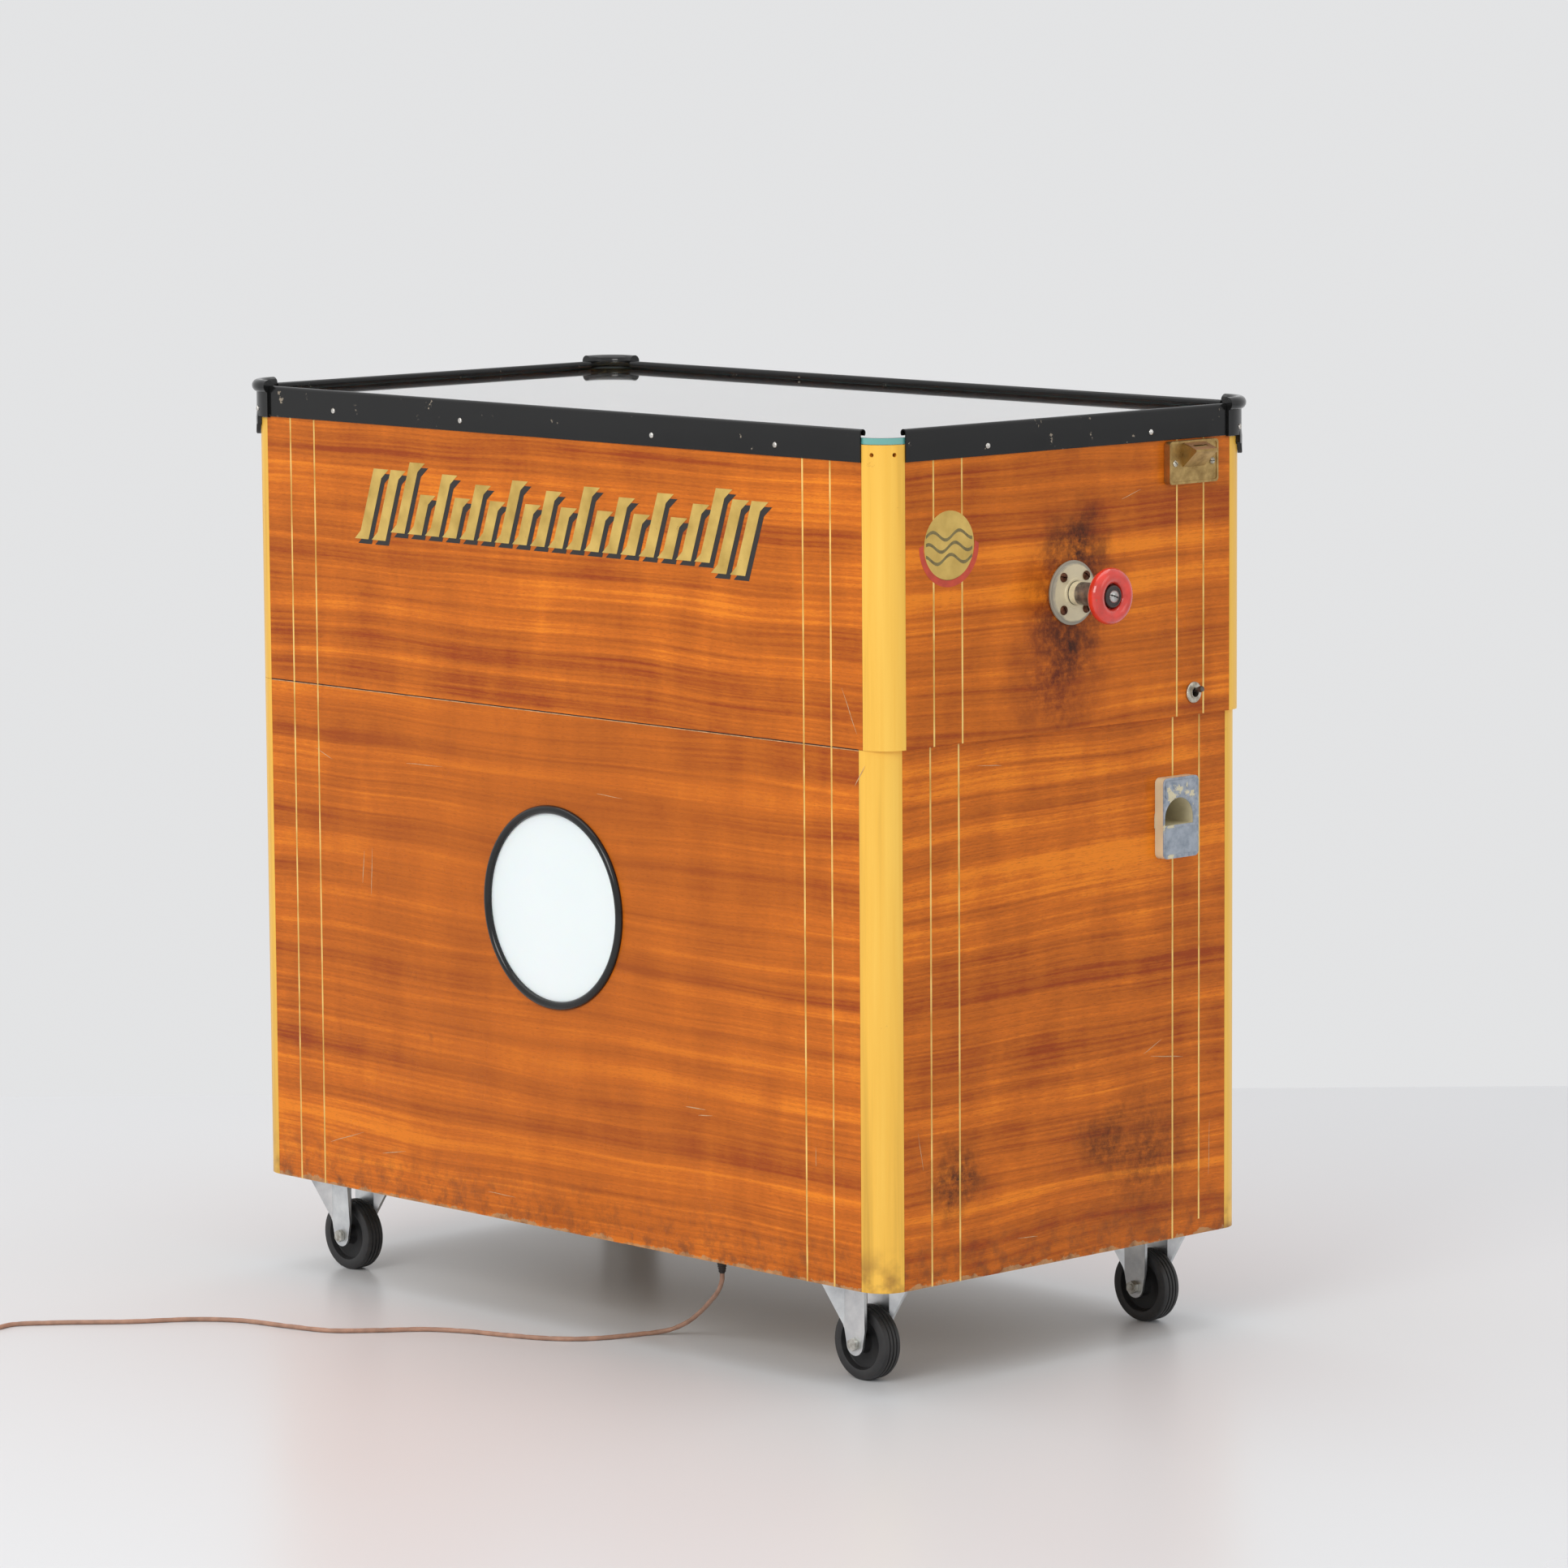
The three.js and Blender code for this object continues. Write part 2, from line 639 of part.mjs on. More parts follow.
// ---- round opal window in the left side ----
const leftSide = sidesOf(caseWidth, caseLength).left;
const windowGroup = sideGroup(leftSide, 0);
const windowFace = -leftSide.reach;
const ringMiddle = windowClearRadius + windowRingWidth / 2;
const ringProfile = closed([
  ...arcPoints(ringMiddle, 0, 1, 0, 180, 5).map(([r, h]) =>
    [ringMiddle + (r - ringMiddle) * windowRingWidth / 2, h * windowRingProud]),
]);
const ringGeometry = turnedTowardsPlayer(ringProfile, 40)
  .translate(0, windowFace - fitGap, windowCentreHeight);
addMesh('window_ring', ringGeometry, blackEnamel(), windowGroup);
const windowGlass = wallPrism(disc(0, windowCentreHeight, windowClearRadius + windowRebate),
  windowFace + fitGap, windowFace + fitGap + windowGlassThickness, roundSteps);
addMesh('window_glass', windowGlass, finish(0xf4f4f0, 0.25), windowGroup);

// ---- payout cup: a thick cast frame with an arched mouth and a short tunnel behind it ----
const cupFace = lowerFrontFace - cupProud;
const cupBack = lowerFrontFace + cupDepth;
const cupFrame = wallPrism(roundedRectangle(cupX, cupCentreHeight, cupWidth, cupHeight, cupCorner),
  cupFace, lowerFrontFace - fitGap, 3);
const cupLabelTop = cupCentreHeight + cupHeight / 2 - cupLabelMargin;
const cupLabel = wallPrism(roundedRectangle(cupX, cupLabelTop - cupLabelHeight / 2,
  cupWidth - 2 * cupLabelMargin, cupLabelHeight, cupCorner / 2), cupFace - cupLabelProud, cupFace + 1, 2);
const cupTunnel = wallPrism(arch(cupMouthX, cupMouthFloor - cupWall, cupMouthWidth + 2 * cupWall,
  cupMouthHeight + 2 * cupWall), lowerFrontFace - fitGap - 1, cupBack, 10);
const cupMouth = wallPrism(arch(cupMouthX, cupMouthFloor, cupMouthWidth, cupMouthHeight),
  cupFace - 5, cupBack + 1, 10);
addMesh('payout_cup', cut(join(cupFrame, cupLabel, cupTunnel), cupMouth), creamPaint());

// ---- coin entry: brass plate with a wedge nose, a slot and a sloping coin run behind ----
const coinPlate = wallPrism(roundedRectangle(0, 0, coinPlateWidth, coinPlateHeight, coinPlateCorner),
  -coinPlateThickness, -fitGap, 3);
const coinPanel = wallPrism(roundedRectangle(0, 0, coinPlateWidth - 2 * coinPlateRim,
  coinPlateHeight - 2 * coinPlateRim, coinPlateCorner - 1),
-coinPlateThickness - 1, -coinPlateThickness + coinPlateRecess, 2);
const noseTop = coinPlateHeight / 2 - coinNoseBelowRim;
const noseRoot = -coinPlateThickness + 2;
const noseShape = shapeOf([
  [noseRoot, -coinNoseFoot], [-coinWedgeReach, noseTop - 2], [-coinWedgeReach, noseTop],
  [noseRoot, coinPlateHeight / 2 - 2],
]);
const nose = sidePrism(noseShape, -coinWedgeWidth / 2, coinWedgeWidth / 2);
const runEndDrop = coinRunLength * coinRunSlope;
const runBottom = coinRunStart - coinRunFloor;
const runTop = runBottom + coinRunDepth;
const runShape = shapeOf([
  [-1, runBottom], [0, runBottom], [coinRunLength, runBottom - runEndDrop],
  [coinRunLength, runTop - runEndDrop], [0, runTop], [-1, runTop],
]);
const runHalf = coinRunWidth / 2 + coinRunWall;
const coinRun = sidePrism(runShape, -runHalf, runHalf);
const runHollowEnd = coinRunLength + 1;
const runHollowFloor = runBottom + coinRunWall;
const runHollowShape = shapeOf([
  [coinRunWall, runHollowFloor - coinRunWall * coinRunSlope],
  [runHollowEnd, runHollowFloor - runHollowEnd * coinRunSlope],
  [runHollowEnd, coinPlateHeight - runEndDrop], [coinRunWall, coinPlateHeight],
]);
const runHollow = sidePrism(runHollowShape, -coinRunWidth / 2, coinRunWidth / 2);
// The slot leans inwards: it starts on the nose's top and comes out on the run's floor.
const slotMouth = new THREE.Vector2(-(coinPlateThickness + coinWedgeReach) / 2 - 2, noseTop + 8);
const slotEnd = new THREE.Vector2(8, runHollowFloor + 2);
const slotAlong = slotEnd.clone().sub(slotMouth).normalize();
const slotAcross = new THREE.Vector2(-slotAlong.y, slotAlong.x).multiplyScalar(coinSlotThickness / 2);
const slotShape = new THREE.Shape([
  slotMouth.clone().sub(slotAcross), slotEnd.clone().sub(slotAcross),
  slotEnd.clone().add(slotAcross), slotMouth.clone().add(slotAcross),
]);
const slot = sidePrism(slotShape, -coinSlotWidth / 2, coinSlotWidth / 2);
const coinEntryGeometry = cut(join(cut(coinPlate, coinPanel), nose, coinRun), runHollow, slot);
const coinEntry = addMesh('coin_entry', coinEntryGeometry, brass());
coinEntry.position.set(coinEntryX, upperFrontFace, coinEntryHeight);

// ---- hand control: flange, rod, ring knob and its boss ----
const control = new THREE.Group();
control.position.set(0, upperFrontFace, controlHeight);
machine.add(control);
const flangeBore = rodRadius + rodRunningGap;
const flangeProfile = closed([
  [flangeBore, fitGap], [flangeRadius, fitGap], [flangeRadius, flangeBaseThickness],
  [flangeFaceRadius, flangeBaseThickness + 0.6], [flangeFaceRadius, flangeFaceThickness],
  [flangeCollarRadius, flangeFaceThickness], [flangeCollarRadius - 0.8, flangeCollarThickness],
  [flangeBore, flangeCollarThickness],
]);
addMesh('knob_flange', turnedTowardsPlayer(flangeProfile, 28), creamPaint(), control);

const rodOuterEnd = knobWebBack - fitGap;
const shelfFront = upperFrontFace + postRadius + shelfPostGap;
const rodInnerEnd = upperFrontFace - shelfFront - rodSocketDepth;
addMesh('control_rod', turnedTowardsPlayer([[0, rodInnerEnd], [rodRadius - 1, rodInnerEnd],
  [rodRadius, rodInnerEnd + 1], [rodRadius, rodOuterEnd], [0, rodOuterEnd]], 20),
finish(0x8d8f8c, 0.35, 0.9), control);

const rimAngleAt = (reach) =>
  THREE.MathUtils.radToDeg(Math.asin((reach - knobCentreReach) / knobRimRadius));
const backAngle = 180 - rimAngleAt(knobWebBack);
const frontAngle = 540 - rimAngleAt(knobWebFront);
const knobProfile = closed([
  [knobScrewRadius, knobWebBack],
  ...arcPoints(knobRingRadius, knobCentreReach, knobRimRadius, backAngle, frontAngle, 10),
  [knobScrewRadius, knobWebFront],
]);
addMesh('control_knob', turnedTowardsPlayer(knobProfile, 28), finish(0xd9301c, 0.25), control);

const bossBack = knobWebFront + fitGap;
const bossFront = bossBack + knobBossThickness;
const bossProfile = closed([
  [knobScrewRadius, bossBack], [knobBossRadius - 1, bossBack], [knobBossRadius, bossBack + 1],
  [knobBossRadius, bossFront - 1.6], [knobBossRadius - 1.6, bossFront], [knobScrewRadius, bossFront],
]);
addMesh('knob_boss', turnedTowardsPlayer(bossProfile, 20), finish(0x33211b, 0.35), control);

// ---- toggle switch ----
const switchGroup = new THREE.Group();
switchGroup.position.set(switchX, upperFrontFace, switchHeight);
machine.add(switchGroup);
const dress = turnedTowardsPlayer([[0, fitGap], [switchDressRadius, fitGap],
  [switchDressRadius, switchDressThickness - 1], [switchDressRadius - 2, switchDressThickness],
  [0, switchDressThickness]], 20);
const bush = turnedTowardsPlayer([[0, -panelThickness - 1], [switchBushRadius, -panelThickness - 1],
  [switchBushRadius, switchDressThickness + 1.2], [0, switchDressThickness + 1.2]], 20);
const switchBox = block(-switchBodyWidth / 2, switchBodyWidth / 2, panelThickness + fitGap,
  panelThickness + fitGap + switchBodyDepth, -switchBodyHeight / 2, switchBodyHeight / 2);
const leverCone = turnedTowardsPlayer([[0, -leverPivotDepth - 4], [4, -leverPivotDepth - 4],
  [switchBushRadius - 0.9, switchDressThickness + 2], [0, switchDressThickness + 2]], 16);
const switchBodyGeometry = cut(join(dress, bush, switchBox), leverCone);
addMesh('switch_body', switchBodyGeometry, finish(0xb8b4a4, 0.3, 0.9), switchGroup);
const leverEnd = leverPivotDepth + leverReach;
const lever = turnedTowardsPlayer([
  [0, -1], [leverRootRadius, -1], [leverRootRadius, leverEnd - leverReach * 0.7],
  [leverTipRadius, leverEnd - leverReach * 0.3], [leverTipRadius * 0.9, leverEnd - 1],
  [leverTipRadius * 0.4, leverEnd], [0, leverEnd],
], 12);
const leverMesh = addMesh('switch_lever', lever, finish(0x3a3530, 0.4, 0.8), switchGroup);
leverMesh.position.y = leverPivotDepth;
leverMesh.rotation.x = -leverRestTilt;

// ---- play deck: fixed board, sliding shelf and the bulkhead that holds the coins back ----
const deckBack = backInner - coinDropLength;
const deckBoard = block(-boardHalfX, boardHalfX, upperFrontInner + fitGap, deckBack,
  deckTop - deckThickness, deckTop);
addMesh('playfield_board', notchedBoard(deckBoard, upperLength, upperMiddle), finish(0x2f6b4a, 0.6));

const shelfHalf = innerHalfWidth - shelfSideGap;
const shelfBlock = block(-shelfHalf, shelfHalf, shelfFront, shelfFront + shelfLength, shelfBottom, shelfTop);
const socketRadius = rodRadius + rodRunningGap;
const socketEnd = -rodSocketDepth - fitGap;
const socket = turnedTowardsPlayer([
  [0, socketEnd], [socketRadius, socketEnd], [socketRadius, 1], [0, 1],
], 20).translate(0, shelfFront, controlHeight);
addMesh('pusher_shelf', cut(shelfBlock, socket), finish(0xb4332a, 0.5));

const bulkheadFront = upperFrontFace + bulkheadBehindFront;
const bulkheadBottom = shelfTop + shelfRunningGap;
const bulkheadRearFace = bulkheadBehindFront + bulkheadThickness;
const runAtBulkhead = coinEntryHeight + runBottom - bulkheadRearFace * coinRunSlope;
const bulkheadBlock = block(-innerHalfWidth + fitGap, innerHalfWidth - fitGap, bulkheadFront,
  bulkheadFront + bulkheadThickness, bulkheadBottom, bulkheadBottom + bulkheadHeight);
const runNotch = block(coinEntryX - runHalf - 1, coinEntryX + runHalf + 1, bulkheadFront - 1,
  bulkheadFront + bulkheadThickness + 1, runAtBulkhead - bulkheadGap, upperTop);
addMesh('front_bulkhead', cut(bulkheadBlock, runNotch), creamPaint());

// ---- payout chute: a sloping tray from the coin drop at the back down to the cup ----
const chuteFront = cupBack + fitGap;
const chuteBack = backInner - fitGap;
const chuteRun = chuteBack - chuteFront;
const trayOutline = (inset, overrun) => shapeOf([
  [cupMouthX - chuteEndWidth / 2 + inset, chuteFront - overrun],
  [cupMouthX + chuteEndWidth / 2 - inset, chuteFront - overrun],
  [chuteBackWidth / 2 - inset, chuteBack - inset], [-chuteBackWidth / 2 + inset, chuteBack - inset],
]);
const trayBlock = prism(trayOutline(0, 0), chuteSheet + chuteWallHeight);
const trayHollow = prism(trayOutline(chuteSheet, 2), chuteWallHeight + 2).translate(0, 0, chuteSheet);
const tray = cut(trayBlock, trayHollow);
const chuteShear = new THREE.Matrix4().makeShear(0, 0, 0, chuteRise / chuteRun, 0, 0);
const chuteFloor = cupMouthFloor + 1 - chuteSheet;
tray.applyMatrix4(chuteShear).translate(0, 0, chuteFloor - chuteFront * chuteRise / chuteRun);
addMesh('payout_chute', tray, zincPlate());

// ---- cash box on the bottom board, behind the service door ----
const boxBack = backInner - cashBoxBehindDoor;
const boxFloor = casterHeight + bottomThickness + fitGap;
const boxOuter = block(-cashBoxWidth / 2, cashBoxWidth / 2, boxBack - cashBoxLength, boxBack,
  boxFloor, boxFloor + cashBoxHeight);
const boxInner = block(-cashBoxWidth / 2 + cashBoxWall, cashBoxWidth / 2 - cashBoxWall,
  boxBack - cashBoxLength + cashBoxWall, boxBack - cashBoxWall, boxFloor + cashBoxWall,
  boxFloor + cashBoxHeight + 1);
addMesh('cash_box', cut(boxOuter, boxInner), finish(0x6f7a72, 0.5, 0.6));

// ---- service door in the lower back, with its hinge and lock ----
const backSide = sidesOf(caseWidth, caseLength).back;
const backGroup = sideGroup(backSide, 0);
const backOuter = -backSide.reach;
const doorHalf = doorWidth / 2;
const lockX = -doorHalf + lockFromEdge;
const doorBlock = block(-doorHalf, doorHalf, backOuter, backOuter + panelThickness,
  doorMiddle - doorHeight / 2, doorMiddle + doorHeight / 2);
const lockHole = wallPrism(disc(lockX, doorMiddle, lockBarrelRadius + rodRunningGap),
  backOuter - 1, backOuter + panelThickness + 1, 10);
addMesh('service_door', cut(doorBlock, lockHole), sapele(), backGroup);

const hingeX = doorHalf + doorGap / 2;
const hingeY = backOuter - fitGap - hingeBarrelRadius;
const hingeLength = doorHeight - 2 * hingeEndMargin;
const barrel = new THREE.CylinderGeometry(hingeBarrelRadius, hingeBarrelRadius, hingeLength, 16)
  .rotateX(Math.PI / 2).translate(hingeX, hingeY, doorMiddle);
const leaf = block(hingeX, hingeX + hingeLeafWidth, backOuter - fitGap - hingeLeafThickness,
  backOuter - fitGap, doorMiddle - hingeLength / 2, doorMiddle + hingeLength / 2);
addMesh('door_hinge', join(barrel, leaf), brass(), backGroup);

const lockFace = turnedTowardsPlayer([[0, -panelThickness - lockBarrelInner],
  [lockBarrelRadius, -panelThickness - lockBarrelInner], [lockBarrelRadius, fitGap],
  [lockFaceRadius, fitGap], [lockFaceRadius, fitGap + lockFaceThickness - 1],
  [lockFaceRadius - 1, fitGap + lockFaceThickness], [0, fitGap + lockFaceThickness]], 16);
const camStart = panelThickness + 1.2;
const cam = block(-lockCamWidth / 2, lockCamWidth / 2, camStart, camStart + lockCamThickness,
  -lockCamLength, 0);
const lockMesh = addMesh('door_lock', join(lockFace, cam), brass(), backGroup);
lockMesh.position.set(lockX, backOuter, doorMiddle);

// ---- window lamp: sheet bracket, holder and bulb behind the opal glass ----
const lampBulbBottom = windowCentreHeight - lampBulbBelowCentre + lampHolderHeight;
const lampHolderBottom = lampBulbBottom - lampHolderHeight;
const lampWall = -innerHalfWidth + fitGap;
const lampX = lampWall + lampStandOff;
const bulbCentre = lampBulbBottom + lampBulbRadius * 1.5;
const lampTurned = turnedUpright([
  [0, lampHolderBottom], [lampHolderRadius, lampHolderBottom], [lampHolderRadius, lampBulbBottom],
  [lampHolderRadius * 0.75, lampBulbBottom + 2],
  ...arcPoints(0, bulbCentre, lampBulbRadius, -50, 75, 6), [0, bulbCentre + lampBulbRadius],
], 16).translate(lampX, 0, 0);
const lampArm = block(lampWall, lampX, -lampBracketWidth / 2, lampBracketWidth / 2,
  lampHolderBottom - 0.5, lampHolderBottom - 0.5 + lampBracketSheet);
const lampBack = block(lampWall, lampWall + lampBracketSheet, -lampBracketWidth / 2, lampBracketWidth / 2,
  lampHolderBottom - lampBracketDrop, lampHolderBottom + 1);
addMesh('window_lamp', join(lampTurned, lampArm, lampBack), finish(0xe8e4d8, 0.3));

// ---- mains lead: gland, free run over the floor, round coil and plug ----
const cordRadius = cordDiameter / 2;
const glandTop = casterHeight - fitGap;
const glandTip = glandTop - glandLength;
addMesh('cord_gland', turnedUpright([[0, glandTip], [glandTipRadius, glandTip],
  [glandTopRadius, glandTop - 5], [glandTopRadius + 4, glandTop - 4], [glandTopRadius + 4, glandTop],
  [0, glandTop]], 12).translate(cordExit.x, cordExit.y, 0), finish(0x2b2623, 0.6));

const cordStart = glandTip - fitGap;
const onFloor = cordRadius;
const coilOuterRadius = coilMeanRadius + coilTurnsWide * cordRadius;
const cordRoute = [
  [cordExit.x, cordExit.y, cordStart], [cordExit.x, cordExit.y, 80],
  [-226.5, -210, 72], [-221, -198, 61], [-212, -178, 48],
  [-203, -152, 31], [-200, -128, 16], [-206, -108, 6], [-222, -94, onFloor], [-247, -86, onFloor],
  [-272, -77, onFloor], [-296, -62, onFloor], [-318, -35, onFloor], [-337, 6, onFloor],
  [-354, 52, onFloor], [-379, 92, onFloor], [-419, 125, onFloor], [-455, 160, onFloor],
  [-473, 212, onFloor], [-489, 268, onFloor], [-521, 310, onFloor], [-578, 350, onFloor],
  [-637, 402, onFloor], [-676, 428, onFloor],
].map(([x, y, z]) => new THREE.Vector3(x, y, z));
cordRoute.push(new THREE.Vector3(-715.5, 424.4, onFloor));
const cordPath = new THREE.CatmullRomCurve3(cordRoute, false, 'centripetal');
const cordSection = shapeOf(Array.from({ length: 6 }, (_, i) => {
  const angle = (i + 0.5) * Math.PI / 3;
  return [cordRadius * Math.cos(angle), cordRadius * Math.sin(angle)];
}));
addMesh('power_cord', new THREE.ExtrudeGeometry(cordSection, { steps: 70, extrudePath: cordPath }),
  finish(0xa47a62, 0.6));

const coilInnerRadius = coilMeanRadius - coilTurnsWide * cordRadius;
const coilHeight = coilTurnsHigh * cordDiameter;
const coilProfile = closed([
  [coilInnerRadius + 1.5, 0], [coilOuterRadius - 1.5, 0], [coilOuterRadius, 1.5],
  [coilOuterRadius, coilHeight - 1.5], [coilOuterRadius - 1.5, coilHeight],
  [coilInnerRadius + 1.5, coilHeight], [coilInnerRadius, coilHeight - 1.5], [coilInnerRadius, 1.5],
]);
addMesh('cord_coil', turnedUpright(coilProfile, 28).translate(coilCentre.x, coilCentre.y, 0),
  finish(0xa47a62, 0.6));

// The plug lies beside the coil, in line with the outermost turn, which leaves the coil there.
const plugLine = coilOuterRadius - cordRadius;
const plugInnerEdge = plugLine - plugWidth / 2;
const plugStart = Math.sqrt(coilOuterRadius ** 2 - plugInnerEdge ** 2) + fitGap + 0.2;
const plugMiddle = plugStart + plugLength / 2;
const plugBody = prism(roundedRectangle(plugMiddle, plugLine, plugLength, plugWidth, 5),
  plugThickness, 3);
const plugPins = [-1, 1].map((hand) =>
  new THREE.CylinderGeometry(plugPinRadius, plugPinRadius, plugPinLength + 3, 10).rotateZ(Math.PI / 2)
    .translate(plugStart + plugLength + (plugPinLength - 3) / 2,
      plugLine + hand * plugPinSpacing / 2, plugThickness / 2));
const plugMesh = addMesh('mains_plug', join(plugBody, ...plugPins), finish(0x2b2623, 0.5));
plugMesh.position.set(coilCentre.x, coilCentre.y, 0);
plugMesh.rotation.z = Math.atan2(plugDirection.y, plugDirection.x);

// The knob reaches furthest to the front, and the rear caps furthest to the back.
const frontReach = -upperFrontFace + knobCentreReach + knobRimRadius;
const rearReach = backFace + capBeadReach;
machine.position.y = (frontReach - rearReach) / 2;

const assembly = new THREE.Group();
assembly.add(machine);
export default assembly;
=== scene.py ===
import math

import bmesh
import bpy
from bpy.props import FloatProperty, FloatVectorProperty, IntProperty, PointerProperty
from mathutils import Matrix, Vector
from mathutils.geometry import tessellate_polygon


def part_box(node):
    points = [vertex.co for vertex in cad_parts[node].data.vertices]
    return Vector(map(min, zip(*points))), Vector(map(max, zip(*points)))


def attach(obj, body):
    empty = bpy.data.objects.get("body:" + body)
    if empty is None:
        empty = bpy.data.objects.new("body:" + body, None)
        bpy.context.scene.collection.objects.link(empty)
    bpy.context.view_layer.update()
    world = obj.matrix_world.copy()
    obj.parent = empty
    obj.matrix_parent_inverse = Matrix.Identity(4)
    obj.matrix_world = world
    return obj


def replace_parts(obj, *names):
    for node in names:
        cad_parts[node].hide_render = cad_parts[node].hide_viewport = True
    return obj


bl_info = {
    "name": "Coin pusher table",
    "version": (1, 0, 0),
    "blender": (4, 5, 0),
    "location": "View3D > Sidebar > Coin pusher",
    "description": "Builds the looks of a wooden coin pusher table on its CAD frame",
    "category": "Object",
}

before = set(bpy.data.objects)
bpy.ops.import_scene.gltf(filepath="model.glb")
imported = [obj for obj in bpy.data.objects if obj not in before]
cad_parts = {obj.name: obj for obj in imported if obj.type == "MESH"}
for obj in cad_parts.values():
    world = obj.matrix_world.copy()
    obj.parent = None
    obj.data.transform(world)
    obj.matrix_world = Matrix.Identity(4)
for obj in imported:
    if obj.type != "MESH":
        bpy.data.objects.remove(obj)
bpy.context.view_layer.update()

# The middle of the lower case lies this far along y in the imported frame.
MACHINE_SHIFT = 0.0305
MM = 0.001
HALF_WIDTH, HALF_LENGTH = 0.270, 0.500
CORNERS = ("front_left", "front_right", "rear_right", "rear_left")


def at(x, y, z):
    """A point given in millimetres from the middle of the lower case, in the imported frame."""
    return Vector((x * MM, y * MM + MACHINE_SHIFT, z * MM))


def corners(node):
    """The low and the high corner of a CAD node's box."""
    return [Vector(corner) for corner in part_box(node)]


def middle_of(node):
    low, high = corners(node)
    return (low + high) / 2


# ---- what a user may change ----

class CaseLooks(bpy.types.PropertyGroup):
    wood_dark: FloatVectorProperty(
        name="Wood, dark bands", description="Colour of the dark bands of the veneer",
        subtype="COLOR", size=3, min=0, max=1, default=(0.34, 0.055, 0.005))
    wood_light: FloatVectorProperty(
        name="Wood, light bands", description="Colour of the golden bands of the veneer",
        subtype="COLOR", size=3, min=0, max=1, default=(0.88, 0.245, 0.015))
    post_wood: FloatVectorProperty(
        name="Post wood", description="Colour of the corner posts",
        subtype="COLOR", size=3, min=0, max=1, default=(0.93, 0.53, 0.080))
    inlay_width: FloatProperty(
        name="Inlay width", description="Width of one inlay string",
        subtype="DISTANCE", unit="LENGTH", default=0.0023)
    inlay_proud: FloatProperty(
        name="Inlay height", description="How far an inlay string stands above the veneer",
        subtype="DISTANCE", unit="LENGTH", default=0.00012)


class TrimLooks(bpy.types.PropertyGroup):
    enamel: FloatVectorProperty(
        name="Black enamel", description="Colour of the rails, the caps and the window ring",
        subtype="COLOR", size=3, min=0, max=1, default=(0.009, 0.009, 0.009))
    screw_radius: FloatProperty(
        name="Rail screw radius", description="Radius of the domed heads on rails and caps",
        subtype="DISTANCE", unit="LENGTH", default=0.0030)
    steps: IntProperty(
        name="Steps in a turn", description="How many steps a round piece has", default=72, min=24, max=144)


class ControlLooks(bpy.types.PropertyGroup):
    knob_red: FloatVectorProperty(
        name="Knob", description="Colour of the ring knob",
        subtype="COLOR", size=3, min=0, max=1, default=(0.80, 0.045, 0.026))
    cream: FloatVectorProperty(
        name="Cream paint", description="Colour of the flange and the payout cup",
        subtype="COLOR", size=3, min=0, max=1, default=(0.74, 0.66, 0.44))


class LeadLooks(bpy.types.PropertyGroup):
    diameter: FloatProperty(
        name="Lead diameter", description="Width of the mains lead",
        subtype="DISTANCE", unit="LENGTH", default=0.005)
    colour: FloatVectorProperty(
        name="Lead colour", description="Colour of the lead's sleeve",
        subtype="COLOR", size=3, min=0, max=1, default=(0.42, 0.235, 0.16))


# ---- materials ----

